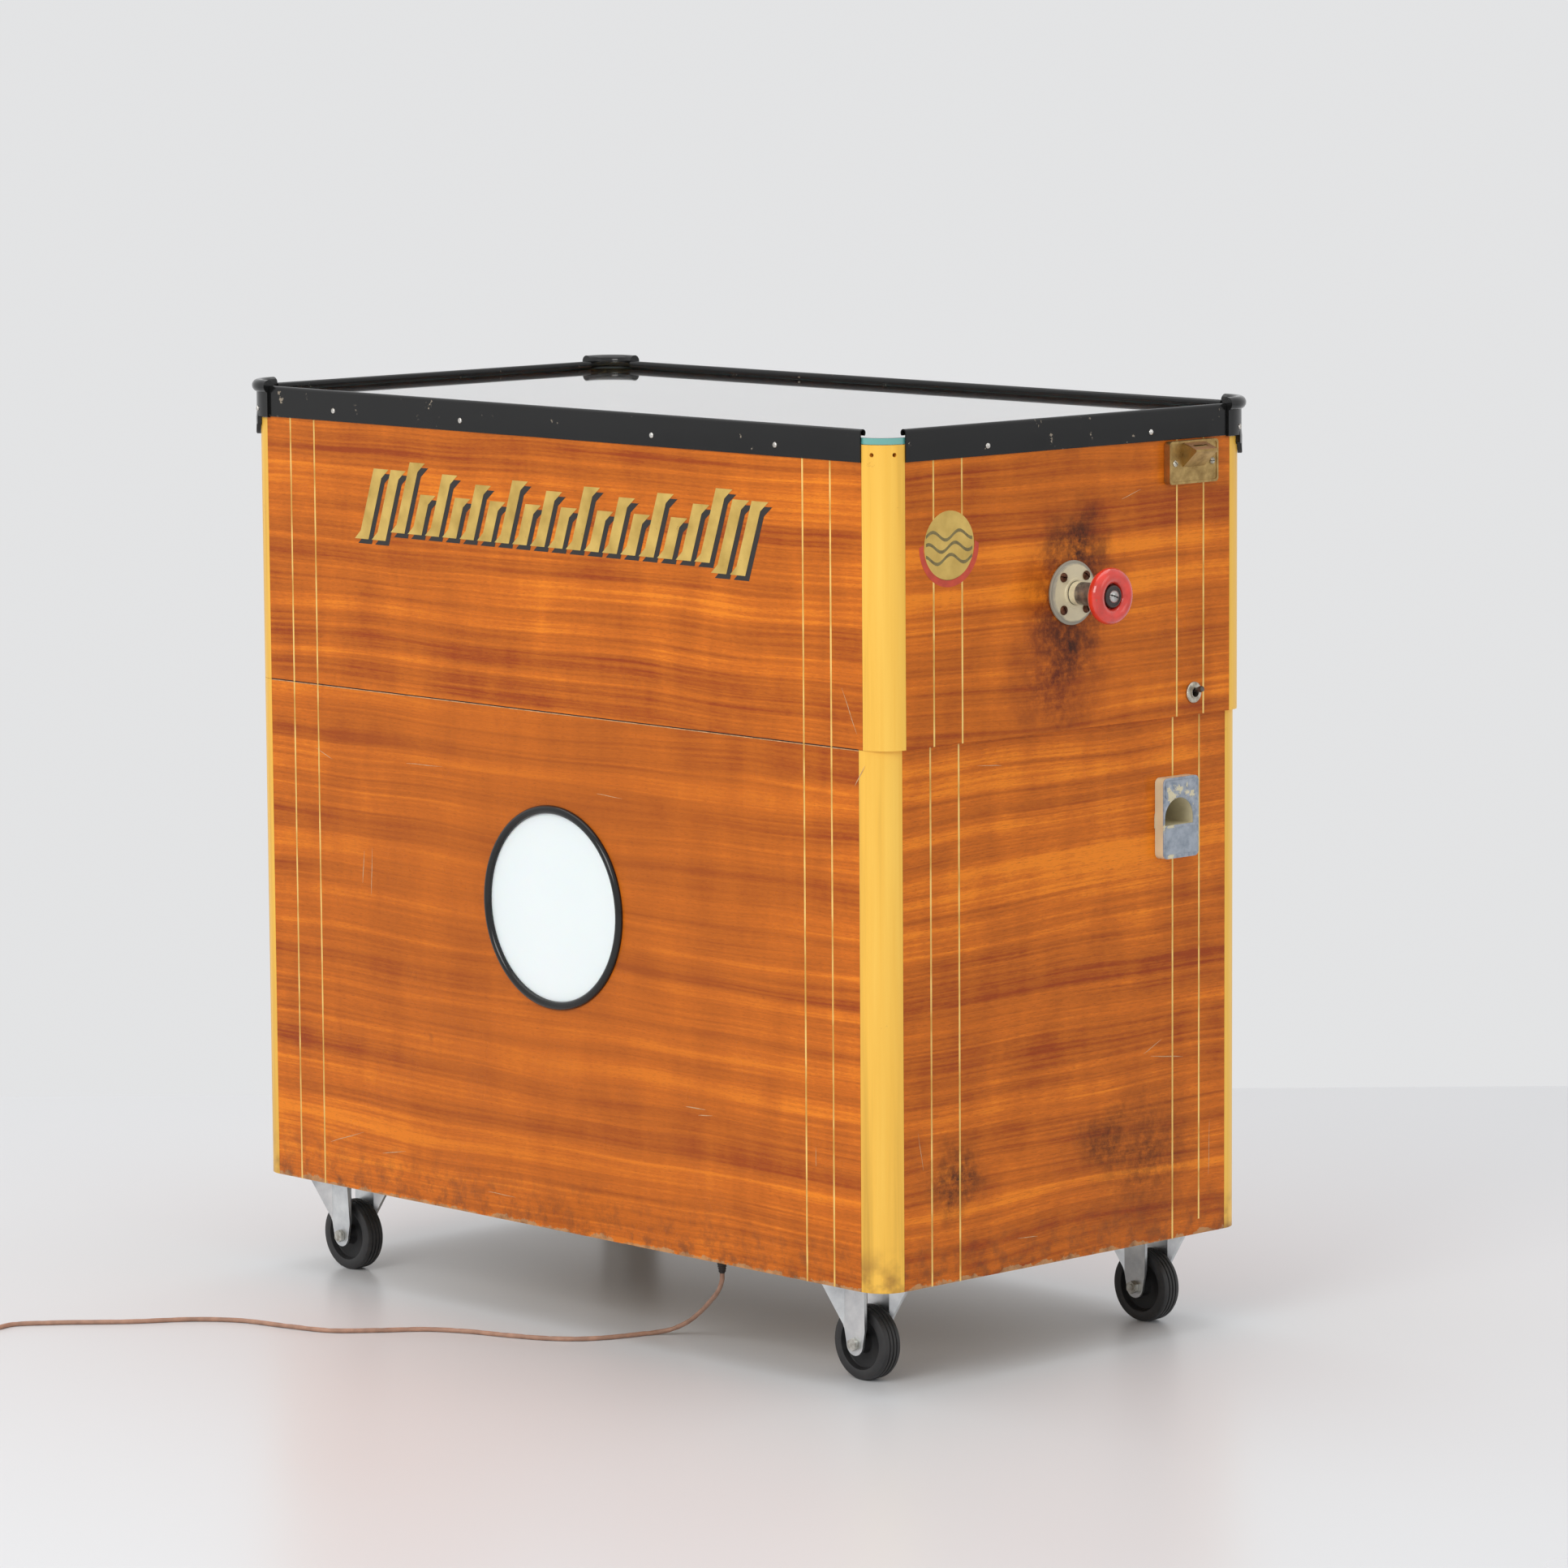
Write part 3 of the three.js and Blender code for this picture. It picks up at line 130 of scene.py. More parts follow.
class Shade:
    """One material being put together, with short calls for its nodes."""

    def __init__(self, name, roughness=0.5, metallic=0.0, colour=(0.5, 0.5, 0.5), coat=0.0, specular=0.5):
        self.material = bpy.data.materials.new(name)
        self.material.use_nodes = True
        self.tree = self.material.node_tree
        self.shader = self.tree.nodes["Principled BSDF"]
        self.set("Base Color", (*colour, 1.0))
        self.set("Roughness", roughness)
        self.set("Metallic", metallic)
        self.set("Coat Weight", coat)
        self.set("Specular IOR Level", specular)
        self.place = self.tree.nodes.new("ShaderNodeTexCoord").outputs["Object"]

    def set(self, socket, value):
        self.shader.inputs[socket].default_value = value

    def put(self, socket, output):
        self.tree.links.new(output, self.shader.inputs[socket])

    def feed(self, socket, value):
        if isinstance(value, bpy.types.NodeSocket):
            self.tree.links.new(value, socket)
        else:
            socket.default_value = value

    def math(self, operation, first, second=0.0, clamp=False):
        node = self.tree.nodes.new("ShaderNodeMath")
        node.operation = operation
        node.use_clamp = clamp
        self.feed(node.inputs[0], first)
        self.feed(node.inputs[1], second)
        return node.outputs[0]

    def times(self, first, second, clamp=False):
        return self.math("MULTIPLY", first, second, clamp)

    def plus(self, first, second, clamp=False):
        return self.math("ADD", first, second, clamp)

    def minus(self, first, second, clamp=False):
        return self.math("SUBTRACT", first, second, clamp)

    def fade(self, distance, reach):
        """1 at no distance, falling to 0 at reach."""
        return self.minus(1.0, self.math("DIVIDE", distance, reach), clamp=True)

    def split(self, vector=None):
        node = self.tree.nodes.new("ShaderNodeSeparateXYZ")
        self.tree.links.new(vector or self.place, node.inputs[0])
        return node.outputs

    def join(self, x, y, z):
        node = self.tree.nodes.new("ShaderNodeCombineXYZ")
        for socket, value in zip(node.inputs, (x, y, z)):
            self.feed(socket, value)
        return node.outputs[0]

    def stretch(self, scale, shift=(0, 0, 0), vector=None):
        node = self.tree.nodes.new("ShaderNodeMapping")
        node.inputs["Scale"].default_value = scale
        node.inputs["Location"].default_value = shift
        self.tree.links.new(vector or self.place, node.inputs["Vector"])
        return node.outputs[0]

    def noise(self, vector=None, scale=1.0, detail=3.0, roughness=0.5, distortion=0.0):
        node = self.tree.nodes.new("ShaderNodeTexNoise")
        self.tree.links.new(vector or self.place, node.inputs["Vector"])
        for name, value in (("Scale", scale), ("Detail", detail),
                            ("Roughness", roughness), ("Distortion", distortion)):
            node.inputs[name].default_value = value
        return node.outputs["Fac"]

    def ramp(self, value, *stops):
        """Grey levels or colours by value; each stop is (position, grey or colour)."""
        node = self.tree.nodes.new("ShaderNodeValToRGB")
        band = node.color_ramp
        while len(band.elements) < len(stops):
            band.elements.new(0.5)
        for element, (position, level) in zip(band.elements, stops):
            element.position = position
            element.color = (*level, 1.0) if isinstance(level, (tuple, list)) else (level, level, level, 1.0)
        self.feed(node.inputs[0], value)
        return node.outputs[0]

    def mix(self, amount, first, second, mode="MIX"):
        node = self.tree.nodes.new("ShaderNodeMix")
        node.data_type = "RGBA"
        node.blend_type = mode
        self.feed(node.inputs[0], amount)
        for socket, value in ((node.inputs[6], first), (node.inputs[7], second)):
            self.feed(socket, (*value, 1.0) if isinstance(value, tuple) else value)
        return node.outputs[2]

    def bump(self, height, strength=0.2, distance=0.0005):
        node = self.tree.nodes.new("ShaderNodeBump")
        node.inputs["Strength"].default_value = strength
        node.inputs["Distance"].default_value = distance
        self.tree.links.new(height, node.inputs["Height"])
        self.put("Normal", node.outputs[0])

    def near(self, point, reach, wobble=0.0, wobble_scale=20.0):
        """1 at the point, falling to 0 at reach; wobble makes the edge uneven."""
        node = self.tree.nodes.new("ShaderNodeVectorMath")
        node.operation = "DISTANCE"
        self.tree.links.new(self.place, node.inputs[0])
        node.inputs[1].default_value = point
        distance = node.outputs["Value"]
        if wobble:
            uneven = self.times(self.minus(self.noise(scale=wobble_scale, detail=6), 0.5), wobble)
            distance = self.plus(distance, uneven)
        return self.fade(distance, reach)


def x_of_calm(name):
    """Where the quiet patch of veneer is: on the left face or on the right one."""
    return -HALF_WIDTH if "left" in name else HALF_WIDTH


def veneer(name, looks, calm, seed, stain, foot):
    """Ribbon-figured sapele under gloss lacquer, grain along x on the ends and along y on the sides."""
    shade = Shade(name, roughness=0.36, coat=0.10, specular=0.15)
    shade.set("Coat Roughness", 0.14)
    x, y, z = shade.split()
    along = shade.plus(x, y)

    def drawn_out(along_scale, shift, height, height_scale, **noise):
        """Noise stretched along the grain."""
        place = shade.join(shade.times(along, along_scale), seed + shift, shade.times(height, height_scale))
        return shade.noise(place, **noise)

    slow = drawn_out(1.6, 0, z, 3.5, detail=2)
    bent = shade.plus(z, shade.times(slow, 0.050))
    bands = drawn_out(0.55, 3.1, bent, 30.0, detail=5, roughness=0.66)
    fine = drawn_out(1.7, 7.7, bent, 240.0, detail=3, roughness=0.6)
    fleck = drawn_out(95.0, 0, bent, 420.0, detail=3, roughness=0.7)
    ribbon = drawn_out(20.0, 1.3, bent, 9.0, detail=3)
    figure = shade.plus(shade.times(bands, 0.52), shade.times(fine, 0.22))
    for part, share in ((ribbon, 0.16), (fleck, 0.10)):
        figure = shade.plus(figure, shade.times(part, share))
    spread = 0.17 - 0.07 * (1.0 - calm)
    middle = tuple((1.35 * a + b) / 2.35 for a, b in zip(looks.wood_dark, looks.wood_light))
    colour = shade.ramp(figure, (0.40, tuple(looks.wood_dark)), (0.475, tuple(0.9 * c for c in middle)),
                        (0.53, tuple(1.15 * c for c in middle)), (0.595, tuple(looks.wood_light)))
    if calm:
        plain = tuple(0.94 * c for c in middle)
        quiet = shade.ramp(figure, (0.5 - spread, tuple(0.72 * c for c in plain)),
                           (0.5 + spread, tuple(min(1, 1.22 * c) for c in plain)))
        reach = shade.near((x_of_calm(name), 0.03, 0.50), 0.46, 0.25, 4.0)
        colour = shade.mix(shade.times(shade.math("POWER", reach, 0.6), calm), colour, quiet)
    pores = shade.ramp(drawn_out(130.0, 0, z, 1900.0, detail=2), (0.30, 1.0), (0.42, 0.0))
    colour = shade.mix(shade.times(pores, 0.32), colour, (0.09, 0.016, 0.003))
    scuffs = shade.ramp(shade.noise(shade.stretch((1.4, 1.4, 1.0)), scale=9.0, detail=8, roughness=0.72),
                        (0.66, 0.0), (0.74, 0.5))
    colour = shade.mix(scuffs, colour, (0.20, 0.055, 0.012))
    if foot is not None:
        rise = shade.minus(z, foot)
        ragged = shade.times(shade.noise(scale=38.0, detail=7, roughness=0.7), 0.030)
        worn = shade.math("LESS_THAN", rise, shade.minus(ragged, 0.0125))
        colour = shade.mix(shade.times(worn, 0.75), colour, (0.50, 0.30, 0.14))
        grime = shade.fade(rise, 0.07)
        patchy = shade.times(grime, shade.ramp(shade.noise(scale=55.0, detail=7, roughness=0.7),
                                                          (0.46, 0.0), (0.66, 0.7)))
        colour = shade.mix(patchy, colour, (0.13, 0.045, 0.018))
    for point, reach, depth, tint in stain:
        mark = shade.times(shade.near(point, reach, 0.06, 32.0), depth)
        patchy = shade.ramp(shade.noise(scale=85.0, detail=7, roughness=0.75), (0.36, 0.0), (0.6, 1.0))
        mark = shade.times(mark, shade.plus(0.35, patchy), clamp=True)
        colour = shade.mix(mark, colour, tint)
    shade.put("Base Color", colour)
    shade.put("Roughness", shade.ramp(shade.noise(scale=14.0, detail=5), (0.3, 0.24), (0.75, 0.46)))
    shade.bump(shade.plus(fine, shade.times(pores, -0.6)), 0.16, 0.0003)
    return shade.material


def post_wood(name, looks, foot=None):
    """Honey-coloured beech with the grain upright and small bruises along the edge."""
    shade = Shade(name, roughness=0.36, coat=0.10, specular=0.22)
    shade.set("Coat Roughness", 0.15)
    base = tuple(looks.post_wood)
    grain = shade.noise(shade.stretch((130.0, 130.0, 3.0)), detail=4, distortion=0.3)
    wide = shade.noise(shade.stretch((22.0, 22.0, 1.6)), detail=2)
    figure = shade.plus(shade.times(grain, 0.45), shade.times(wide, 0.55))
    colour = shade.ramp(figure, (0.33, tuple(0.74 * c for c in base)), (0.5, base),
                        (0.68, (min(1, base[0] * 1.06), base[1] * 1.14, base[2] * 1.35)))
    bruise = shade.ramp(shade.noise(scale=30.0, detail=7, roughness=0.75), (0.66, 0.0), (0.74, 0.8))
    colour = shade.mix(bruise, colour, (0.42, 0.16, 0.04))
    if foot is not None:
        rise = shade.minus(shade.split()[2], foot)
        grime = shade.fade(rise, 0.05)
        patchy = shade.times(grime, shade.ramp(shade.noise(scale=40.0, detail=6), (0.4, 0.0), (0.65, 1.0)))
        colour = shade.mix(patchy, colour, (0.24, 0.10, 0.03))
    shade.put("Base Color", colour)
    shade.bump(grain, 0.08, 0.0003)
    return shade.material


def plain_board(name, colour, dark, scale=(3.0, 60.0, 60.0)):
    shade = Shade(name, roughness=0.6)
    grain = shade.noise(shade.stretch(scale), detail=5, distortion=0.2)
    shade.put("Base Color", shade.ramp(grain, (0.3, dark), (0.7, colour)))
    shade.put("Roughness", shade.ramp(grain, (0.3, 0.68), (0.7, 0.5)))
    shade.bump(grain, 0.12, 0.0005)
    return shade.material


def chipped_paint(name, colour, under, amount=0.5, size=60.0, roughness=0.25, coat=0.1, dull=0.14):
    """Paint with chips down to what is under it, and a slightly uneven gloss."""
    shade = Shade(name, roughness=roughness, coat=coat, specular=0.3)
    shade.set("Coat Roughness", 0.08)
    chip = shade.noise(scale=size, detail=9, roughness=0.68)
    edge = 0.74 - 0.12 * amount
    mask = shade.ramp(chip, (edge, 0.0), (edge + 0.012, 1.0))
    tone = shade.ramp(shade.noise(scale=11.0, detail=4), (0.3, tuple(0.86 * c for c in colour)), (0.7, colour))
    shade.put("Base Color", shade.mix(mask, tone, under))
    gloss = shade.ramp(shade.noise(scale=24.0, detail=5), (0.3, roughness), (0.75, roughness + dull))
    shade.put("Roughness", shade.mix(mask, gloss, (0.6, 0.6, 0.6)))
    shade.bump(shade.minus(1.0, mask), 0.35, 0.0002)
    return shade.material


def worn_metal(name, colour, dark, roughness=0.35, size=45.0, scratch=0.3):
    shade = Shade(name, roughness=roughness, metallic=1.0)
    cloud = shade.noise(scale=size, detail=7, roughness=0.62)
    shade.put("Base Color", shade.ramp(cloud, (0.34, dark), (0.62, colour)))
    shade.put("Roughness", shade.ramp(cloud, (0.3, min(1, roughness + scratch)), (0.66, roughness)))
    shade.bump(shade.noise(scale=size * 9, detail=4), 0.12, 0.0002)
    return shade.material


def moulded(name, colour, dark, roughness=0.45, size=120.0, coat=0.0):
    shade = Shade(name, roughness=roughness, coat=coat)
    cloud = shade.noise(scale=size, detail=6, roughness=0.6)
    shade.put("Base Color", shade.ramp(cloud, (0.3, dark), (0.6, colour)))
    shade.put("Roughness", shade.ramp(cloud, (0.3, min(1, roughness + 0.15)), (0.7, roughness)))
    shade.bump(cloud, 0.08, 0.0003)
    return shade.material


def knob_paint(looks):
    """Glossy red enamel, darker in patches, with pale chips."""
    red = tuple(looks.knob_red)
    shade = Shade("knob_enamel", roughness=0.14, coat=0.7)
    shade.set("Coat Roughness", 0.06)
    chip = shade.ramp(shade.noise(scale=210.0, detail=7, roughness=0.7), (0.655, 0.0), (0.67, 1.0))
    tone = shade.ramp(shade.noise(scale=70.0, detail=4), (0.3, tuple(0.68 * c for c in red)), (0.65, red))
    shade.put("Base Color", shade.mix(chip, tone, (0.30, 0.10, 0.06)))
    shade.bump(shade.noise(scale=90.0, detail=4), 0.1, 0.0004)
    return shade.material


def clear_glass():
    shade = Shade("glass_sheet", roughness=0.015, colour=(0.86, 0.93, 0.90))
    shade.set("Transmission Weight", 1.0)
    shade.set("Coat Weight", 1.0)
    shade.set("Coat IOR", 1.9)
    shade.set("Coat Roughness", 0.03)
    shade.set("IOR", 1.5)
    haze = shade.ramp(shade.noise(scale=6.0, detail=5), (0.35, 0.01), (0.8, 0.06))
    shade.put("Roughness", haze)
    low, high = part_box("glass_top")
    z = shade.split()[2]
    skin = 0.0003
    edge = shade.times(shade.math("LESS_THAN", z, high[2] - skin),
                      shade.math("GREATER_THAN", z, low[2] + skin))
    shade.put("Transmission Weight", shade.minus(1.0, shade.times(edge, 0.8)))
    shade.put("Base Color", shade.mix(edge, (0.86, 0.93, 0.90), (0.16, 0.52, 0.46)))
    return shade.material


def opal_sheet():
    shade = Shade("opal_sheet", roughness=0.28, colour=(0.93, 0.94, 0.93), coat=0.4)
    shade.set("Subsurface Weight", 0.15)
    # Painted glow: a faint white emission makes the opal sheet shine, though the lamp behind it gives no light.
    shade.set("Emission Color", (1.0, 1.0, 1.0, 1.0))
    shade.set("Emission Strength", 0.05)
    veil = shade.noise(scale=5.0, detail=3)
    shade.put("Base Color", shade.ramp(veil, (0.3, (0.90, 0.92, 0.91)), (0.7, (0.96, 0.96, 0.95))))
    return shade.material


def lead_sleeve(looks):
    colour = tuple(looks.colour)
    shade = Shade("lead_sleeve", roughness=0.55)
    cloud = shade.noise(scale=75.0, detail=5)
    shade.put("Base Color", shade.ramp(cloud, (0.3, tuple(0.7 * c for c in colour)),
                                       (0.68, tuple(min(1, 1.15 * c) for c in colour))))
    shade.bump(shade.noise(scale=900.0, detail=2), 0.15, 0.0002)
    return shade.material


def worn_cup_paint(looks):
    """Cream paint, rubbed down to blue-grey metal on the raised front faces."""
    cream = tuple(looks.cream)
    shade = Shade("cup_paint", roughness=0.34, coat=0.2)
    front = cup_face_y()
    y = shade.split()[1]
    facing = shade.math("LESS_THAN", y, front + 0.0016)
    patch = shade.ramp(shade.noise(scale=52.0, detail=7, roughness=0.62), (0.40, 0.0), (0.43, 1.0))
    rub = shade.times(facing, patch)
    tone = shade.ramp(shade.noise(scale=40.0, detail=4), (0.3, tuple(0.85 * c for c in cream)), (0.7, cream))
    grey = shade.ramp(shade.noise(scale=160.0, detail=5), (0.3, (0.22, 0.26, 0.32)), (0.7, (0.44, 0.47, 0.52)))
    shade.put("Base Color", shade.mix(rub, tone, grey))
    shade.put("Metallic", shade.times(rub, 0.35))
    shade.bump(shade.minus(1.0, rub), 0.3, 0.0002)
    return shade.material


def cup_face_y():
    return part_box("payout_cup")[0][1]


def flange_paint(looks):
    """Cream paint, grey and worn round the rim."""
    cream = tuple(looks.cream)
    shade = Shade("flange_paint", roughness=0.3, coat=0.3)
    centre = middle_of("knob_flange")
    outer = shade.near(tuple(centre), 0.034, 0.003, 90.0)
    rim = shade.ramp(outer, (0.10, 1.0), (0.16, 0.0))
    tone = shade.ramp(shade.noise(scale=60.0, detail=5), (0.3, tuple(0.9 * c for c in cream)), (0.65, cream))
    shade.put("Base Color", shade.mix(shade.times(rim, 0.75), tone, (0.20, 0.19, 0.17)))
    shade.bump(shade.noise(scale=120.0, detail=4), 0.06, 0.0003)
    return shade.material


def gilt(name, colour, dark):
    shade = Shade(name, roughness=0.34, metallic=0.2, coat=0.2)
    cloud = shade.noise(scale=40.0, detail=6)
    rubbed = shade.ramp(shade.noise(scale=120.0, detail=8, roughness=0.75), (0.66, 0.0), (0.70, 0.7))
    tone = shade.ramp(cloud, (0.3, dark), (0.65, colour))
    shade.put("Base Color", shade.mix(rubbed, tone, (0.20, 0.06, 0.012)))
    return shade.material


# ---- shapes ----

def finished(name, mesh, material, body, smooth=None):
    """Makes the object and ties it to its body and slot."""
    mesh.materials.clear()
    mesh.materials.append(material)
    piece = bpy.data.objects.new(name, mesh)
    bpy.context.scene.collection.objects.link(piece)
    if smooth is not None:
        mesh.polygons.foreach_set("use_smooth", [True] * len(mesh.polygons))
        mesh.set_sharp_from_angle(angle=math.radians(smooth))
    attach(piece, body)
    return piece


def mesh_from(name, points, faces, merge=1e-6):
    """A mesh with its doubles merged and every face turned outwards."""
    mesh = bpy.data.meshes.new(name)
    mesh.from_pydata([tuple(p) for p in points], [], faces)
    form = bmesh.new()
    form.from_mesh(mesh)
    bmesh.ops.remove_doubles(form, verts=form.verts, dist=merge)
    bmesh.ops.dissolve_degenerate(form, edges=form.edges, dist=merge)
    bmesh.ops.recalc_face_normals(form, faces=form.faces)
    form.to_mesh(mesh)
    form.free()
    return mesh


def quads(here, there, count, closed=True):
    """Faces between two rows of points, whose first points are here and there."""
    return [(here + j, here + (j + 1) % count, there + (j + 1) % count, there + j)
            for j in range(count if closed else count - 1)]


def end_faces(last, count):
    """One face on the first row of points and one on the last row."""
    return [tuple(range(count)), tuple(range(last + count - 1, last - 1, -1))]


def swept(name, section, stations, ring=False):
    """A closed section of (out, up) pairs in metres, carried through stations of (point, out direction)."""
    points, faces = [], []
    count = len(section)
    for origin, out in stations:
        points += [origin + out * n + Vector((0, 0, h)) for n, h in section]
    spans = len(stations) if ring else len(stations) - 1
    for i in range(spans):
        faces += quads(i * count, (i + 1) % len(stations) * count, count)
    if not ring:
        flat = tessellate_polygon([[Vector((n, h, 0)) for n, h in section]])
        last = (len(stations) - 1) * count
        faces += [tuple(t) for t in flat] + [tuple(last + i for i in reversed(t)) for t in flat]
    return mesh_from(name, points, faces)


def turned(name, profile, axis, centre, steps, fluted=None):
    """A profile of (radius, distance along the axis) in mm, turned about an axis that its ends may meet."""
    axis = Vector(axis)
    across = axis.orthogonal().normalized()
    beside = axis.cross(across)
    points, faces = [], []
    for i in range(steps):
        angle = 2 * math.pi * i / steps
        out = across * math.cos(angle) + beside * math.sin(angle)
        for r, h in profile:
            grown = r + (fluted(r, h, angle) if fluted else 0)
            points.append(centre + out * grown * MM + axis * h * MM)
    count = len(profile)
    for i in range(steps):
        faces += quads(i * count, (i + 1) % steps * count, count, closed=profile[0][0] > 1e-6)
    return mesh_from(name, points, faces)


def plate(name, outline, depth, frame_at, rounding=0.0, holes=()):
    """A flat outline of (across, up) pairs in metres made into a plate.

    frame_at maps (across, up, out) to a point.
    """
    rings = [list(outline)] + [list(hole) for hole in holes]
    flat = tessellate_polygon([[Vector((a, b, 0)) for a, b in ring] for ring in rings])
    run = [pair for ring in rings for pair in ring]
    count = len(run)
    points = [frame_at(a, b, 0.0) for a, b in run] + [frame_at(a, b, depth) for a, b in run]
    faces = [tuple(t) for t in flat] + [tuple(count + i for i in reversed(t)) for t in flat]
    start = 0
    for ring in rings:
        faces += quads(start, count + start, len(ring))
        start += len(ring)
    mesh = mesh_from(name, points, faces)
    if rounding:
        form = bmesh.new()
        form.from_mesh(mesh)
        bmesh.ops.dissolve_limit(form, angle_limit=math.radians(1), verts=form.verts, edges=form.edges)
        sharp = [e for e in form.edges if len(e.link_faces) == 2 and e.calc_face_angle() > math.radians(50)]
        bmesh.ops.bevel(form, geom=sharp, offset=rounding, segments=3, affect="EDGES", profile=0.5)
        bmesh.ops.triangulate(form, faces=[f for f in form.faces if len(f.verts) > 4])
        form.to_mesh(mesh)
        form.free()
    return mesh


def arc(centre_x, centre_y, radius, start, end, steps):
    return [(centre_x + radius * math.cos(math.radians(start + (end - start) * i / steps)),
             centre_y + radius * math.sin(math.radians(start + (end - start) * i / steps)))
            for i in range(steps + 1)]


def rounded_box(centre_x, centre_y, width, height, radius, steps=8):
    right, left = centre_x + width / 2 - radius, centre_x - width / 2 + radius
    top, bottom = centre_y + height / 2 - radius, centre_y - height / 2 + radius
    return (arc(right, top, radius, 0, 90, steps) + arc(left, top, radius, 90, 180, steps)
            + arc(left, bottom, radius, 180, 270, steps) + arc(right, bottom, radius, 270, 360, steps))


def front_face(y):
    """Maps (across, up, out) to a point on a face that looks towards the player."""
    return lambda a, b, out: Vector((a, y - out, b))


def left_face(x):
    """Maps (across, up, out) to a point on the left side; across runs along y."""
    return lambda a, b, out: Vector((x - out, a, b))


def joined(name, *meshes):
    """Several meshes as one."""
    form = bmesh.new()
    for mesh in meshes:
        form.from_mesh(mesh)
    whole = bpy.data.meshes.new(name)
    form.to_mesh(whole)
    form.free()
    for mesh in meshes:
        bpy.data.meshes.remove(mesh)
    return whole


def dress(node, material):
    """A CAD node that keeps its own shape gets a finish."""
    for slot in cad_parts[node].material_slots:
        slot.material = material


# ---- screws: one tree sets a head on each point, turned to its direction ----

def screw_head(slotted):
    """A domed head of radius 1 looking along z, with a slot across it if slotted."""
    form = bmesh.new()
    rings = [(1.0, 0.0), (1.0, 0.12), (0.93, 0.3), (0.72, 0.46), (0.4, 0.56)]
    steps = 20
    rows = []
    for r, h in rings:
        rows.append([form.verts.new((r * math.cos(2 * math.pi * i / steps),
                                     r * math.sin(2 * math.pi * i / steps), h)) for i in range(steps)])
    for low, high in zip(rows, rows[1:]):
        for i in range(steps):
            form.faces.new((low[i], low[(i + 1) % steps], high[(i + 1) % steps], high[i]))
    form.faces.new(list(reversed(rows[0])))
    top = form.faces.new(rows[-1])
    bmesh.ops.poke(form, faces=[top])
    if slotted:
        for x in (-0.13, 0.13):
            bmesh.ops.bisect_plane(form, geom=form.verts[:] + form.edges[:] + form.faces[:],
                                   plane_co=(x, 0, 0), plane_no=(1, 0, 0))
        for vert in form.verts:
            if abs(vert.co.x) < 0.125 and vert.co.z > 0.29:
                vert.co.z -= 0.3
        trench = [f for f in form.faces if abs(f.calc_center_median().x) < 0.125
                  and f.calc_center_median().z > 0.3]
        floor = bmesh.ops.extrude_face_region(form, geom=trench)
        moved = [g for g in floor["geom"] if isinstance(g, bmesh.types.BMVert)]
        bmesh.ops.translate(form, verts=moved, vec=(0, 0, -0.24))
        bmesh.ops.delete(form, geom=trench, context="FACES")
    bmesh.ops.recalc_face_normals(form, faces=form.faces)
    mesh = bpy.data.meshes.new("screw_head")
    form.to_mesh(mesh)
    form.free()
    return mesh


def screw_tree(head, material):
    """Points with a direction in, screw heads out; Radius and Turn are named inputs."""
    tree = bpy.data.node_groups.new("screw_row", "GeometryNodeTree")
    tree.interface.new_socket("Geometry", in_out="INPUT", socket_type="NodeSocketGeometry")
    radius = tree.interface.new_socket("Radius", in_out="INPUT", socket_type="NodeSocketFloat")
    turn = tree.interface.new_socket("Turn", in_out="INPUT", socket_type="NodeSocketFloat")
    tree.interface.new_socket("Geometry", in_out="OUTPUT", socket_type="NodeSocketGeometry")
    new, link = tree.nodes.new, tree.links.new
    start, end = new("NodeGroupInput"), new("NodeGroupOutput")
    points = new("GeometryNodeMeshToPoints")
    shape = new("GeometryNodeObjectInfo")
    shape.inputs["Object"].default_value = head
    facing = new("GeometryNodeInputNamedAttribute")
    facing.data_type = "FLOAT_VECTOR"
    facing.inputs["Name"].default_value = "facing"
    align = new("FunctionNodeAlignRotationToVector")
    align.axis = "Z"
    spin = new("FunctionNodeAxisAngleToRotation")
    spin.inputs["Axis"].default_value = (0, 0, 1)
    jitter = new("FunctionNodeRandomValue")
    jitter.inputs["Min"].default_value = -0.9
    jitter.inputs["Max"].default_value = 0.9
    jitter.inputs["Seed"].default_value = 5
    add = new("ShaderNodeMath")
    both = new("FunctionNodeRotateRotation")
    both.rotation_space = "LOCAL"
    place = new("GeometryNodeInstanceOnPoints")
    realize = new("GeometryNodeRealizeInstances")
    paint = new("GeometryNodeSetMaterial")
    paint.inputs["Material"].default_value = material
    link(start.outputs["Geometry"], points.inputs["Mesh"])
    link(points.outputs["Points"], place.inputs["Points"])
    link(shape.outputs["Geometry"], place.inputs["Instance"])
    link(facing.outputs["Attribute"], align.inputs["Vector"])
    link(start.outputs["Turn"], add.inputs[0])
    link(jitter.outputs[1], add.inputs[1])
    link(add.outputs[0], spin.inputs["Angle"])
    link(align.outputs[0], both.inputs["Rotation"])
    link(spin.outputs[0], both.inputs["Rotate By"])
    link(both.outputs[0], place.inputs["Rotation"])
    link(start.outputs["Radius"], place.inputs["Scale"])
    link(place.outputs[0], realize.inputs[0])
    link(realize.outputs[0], paint.inputs["Geometry"])
    link(paint.outputs[0], end.inputs["Geometry"])
    return tree, radius.identifier, turn.identifier


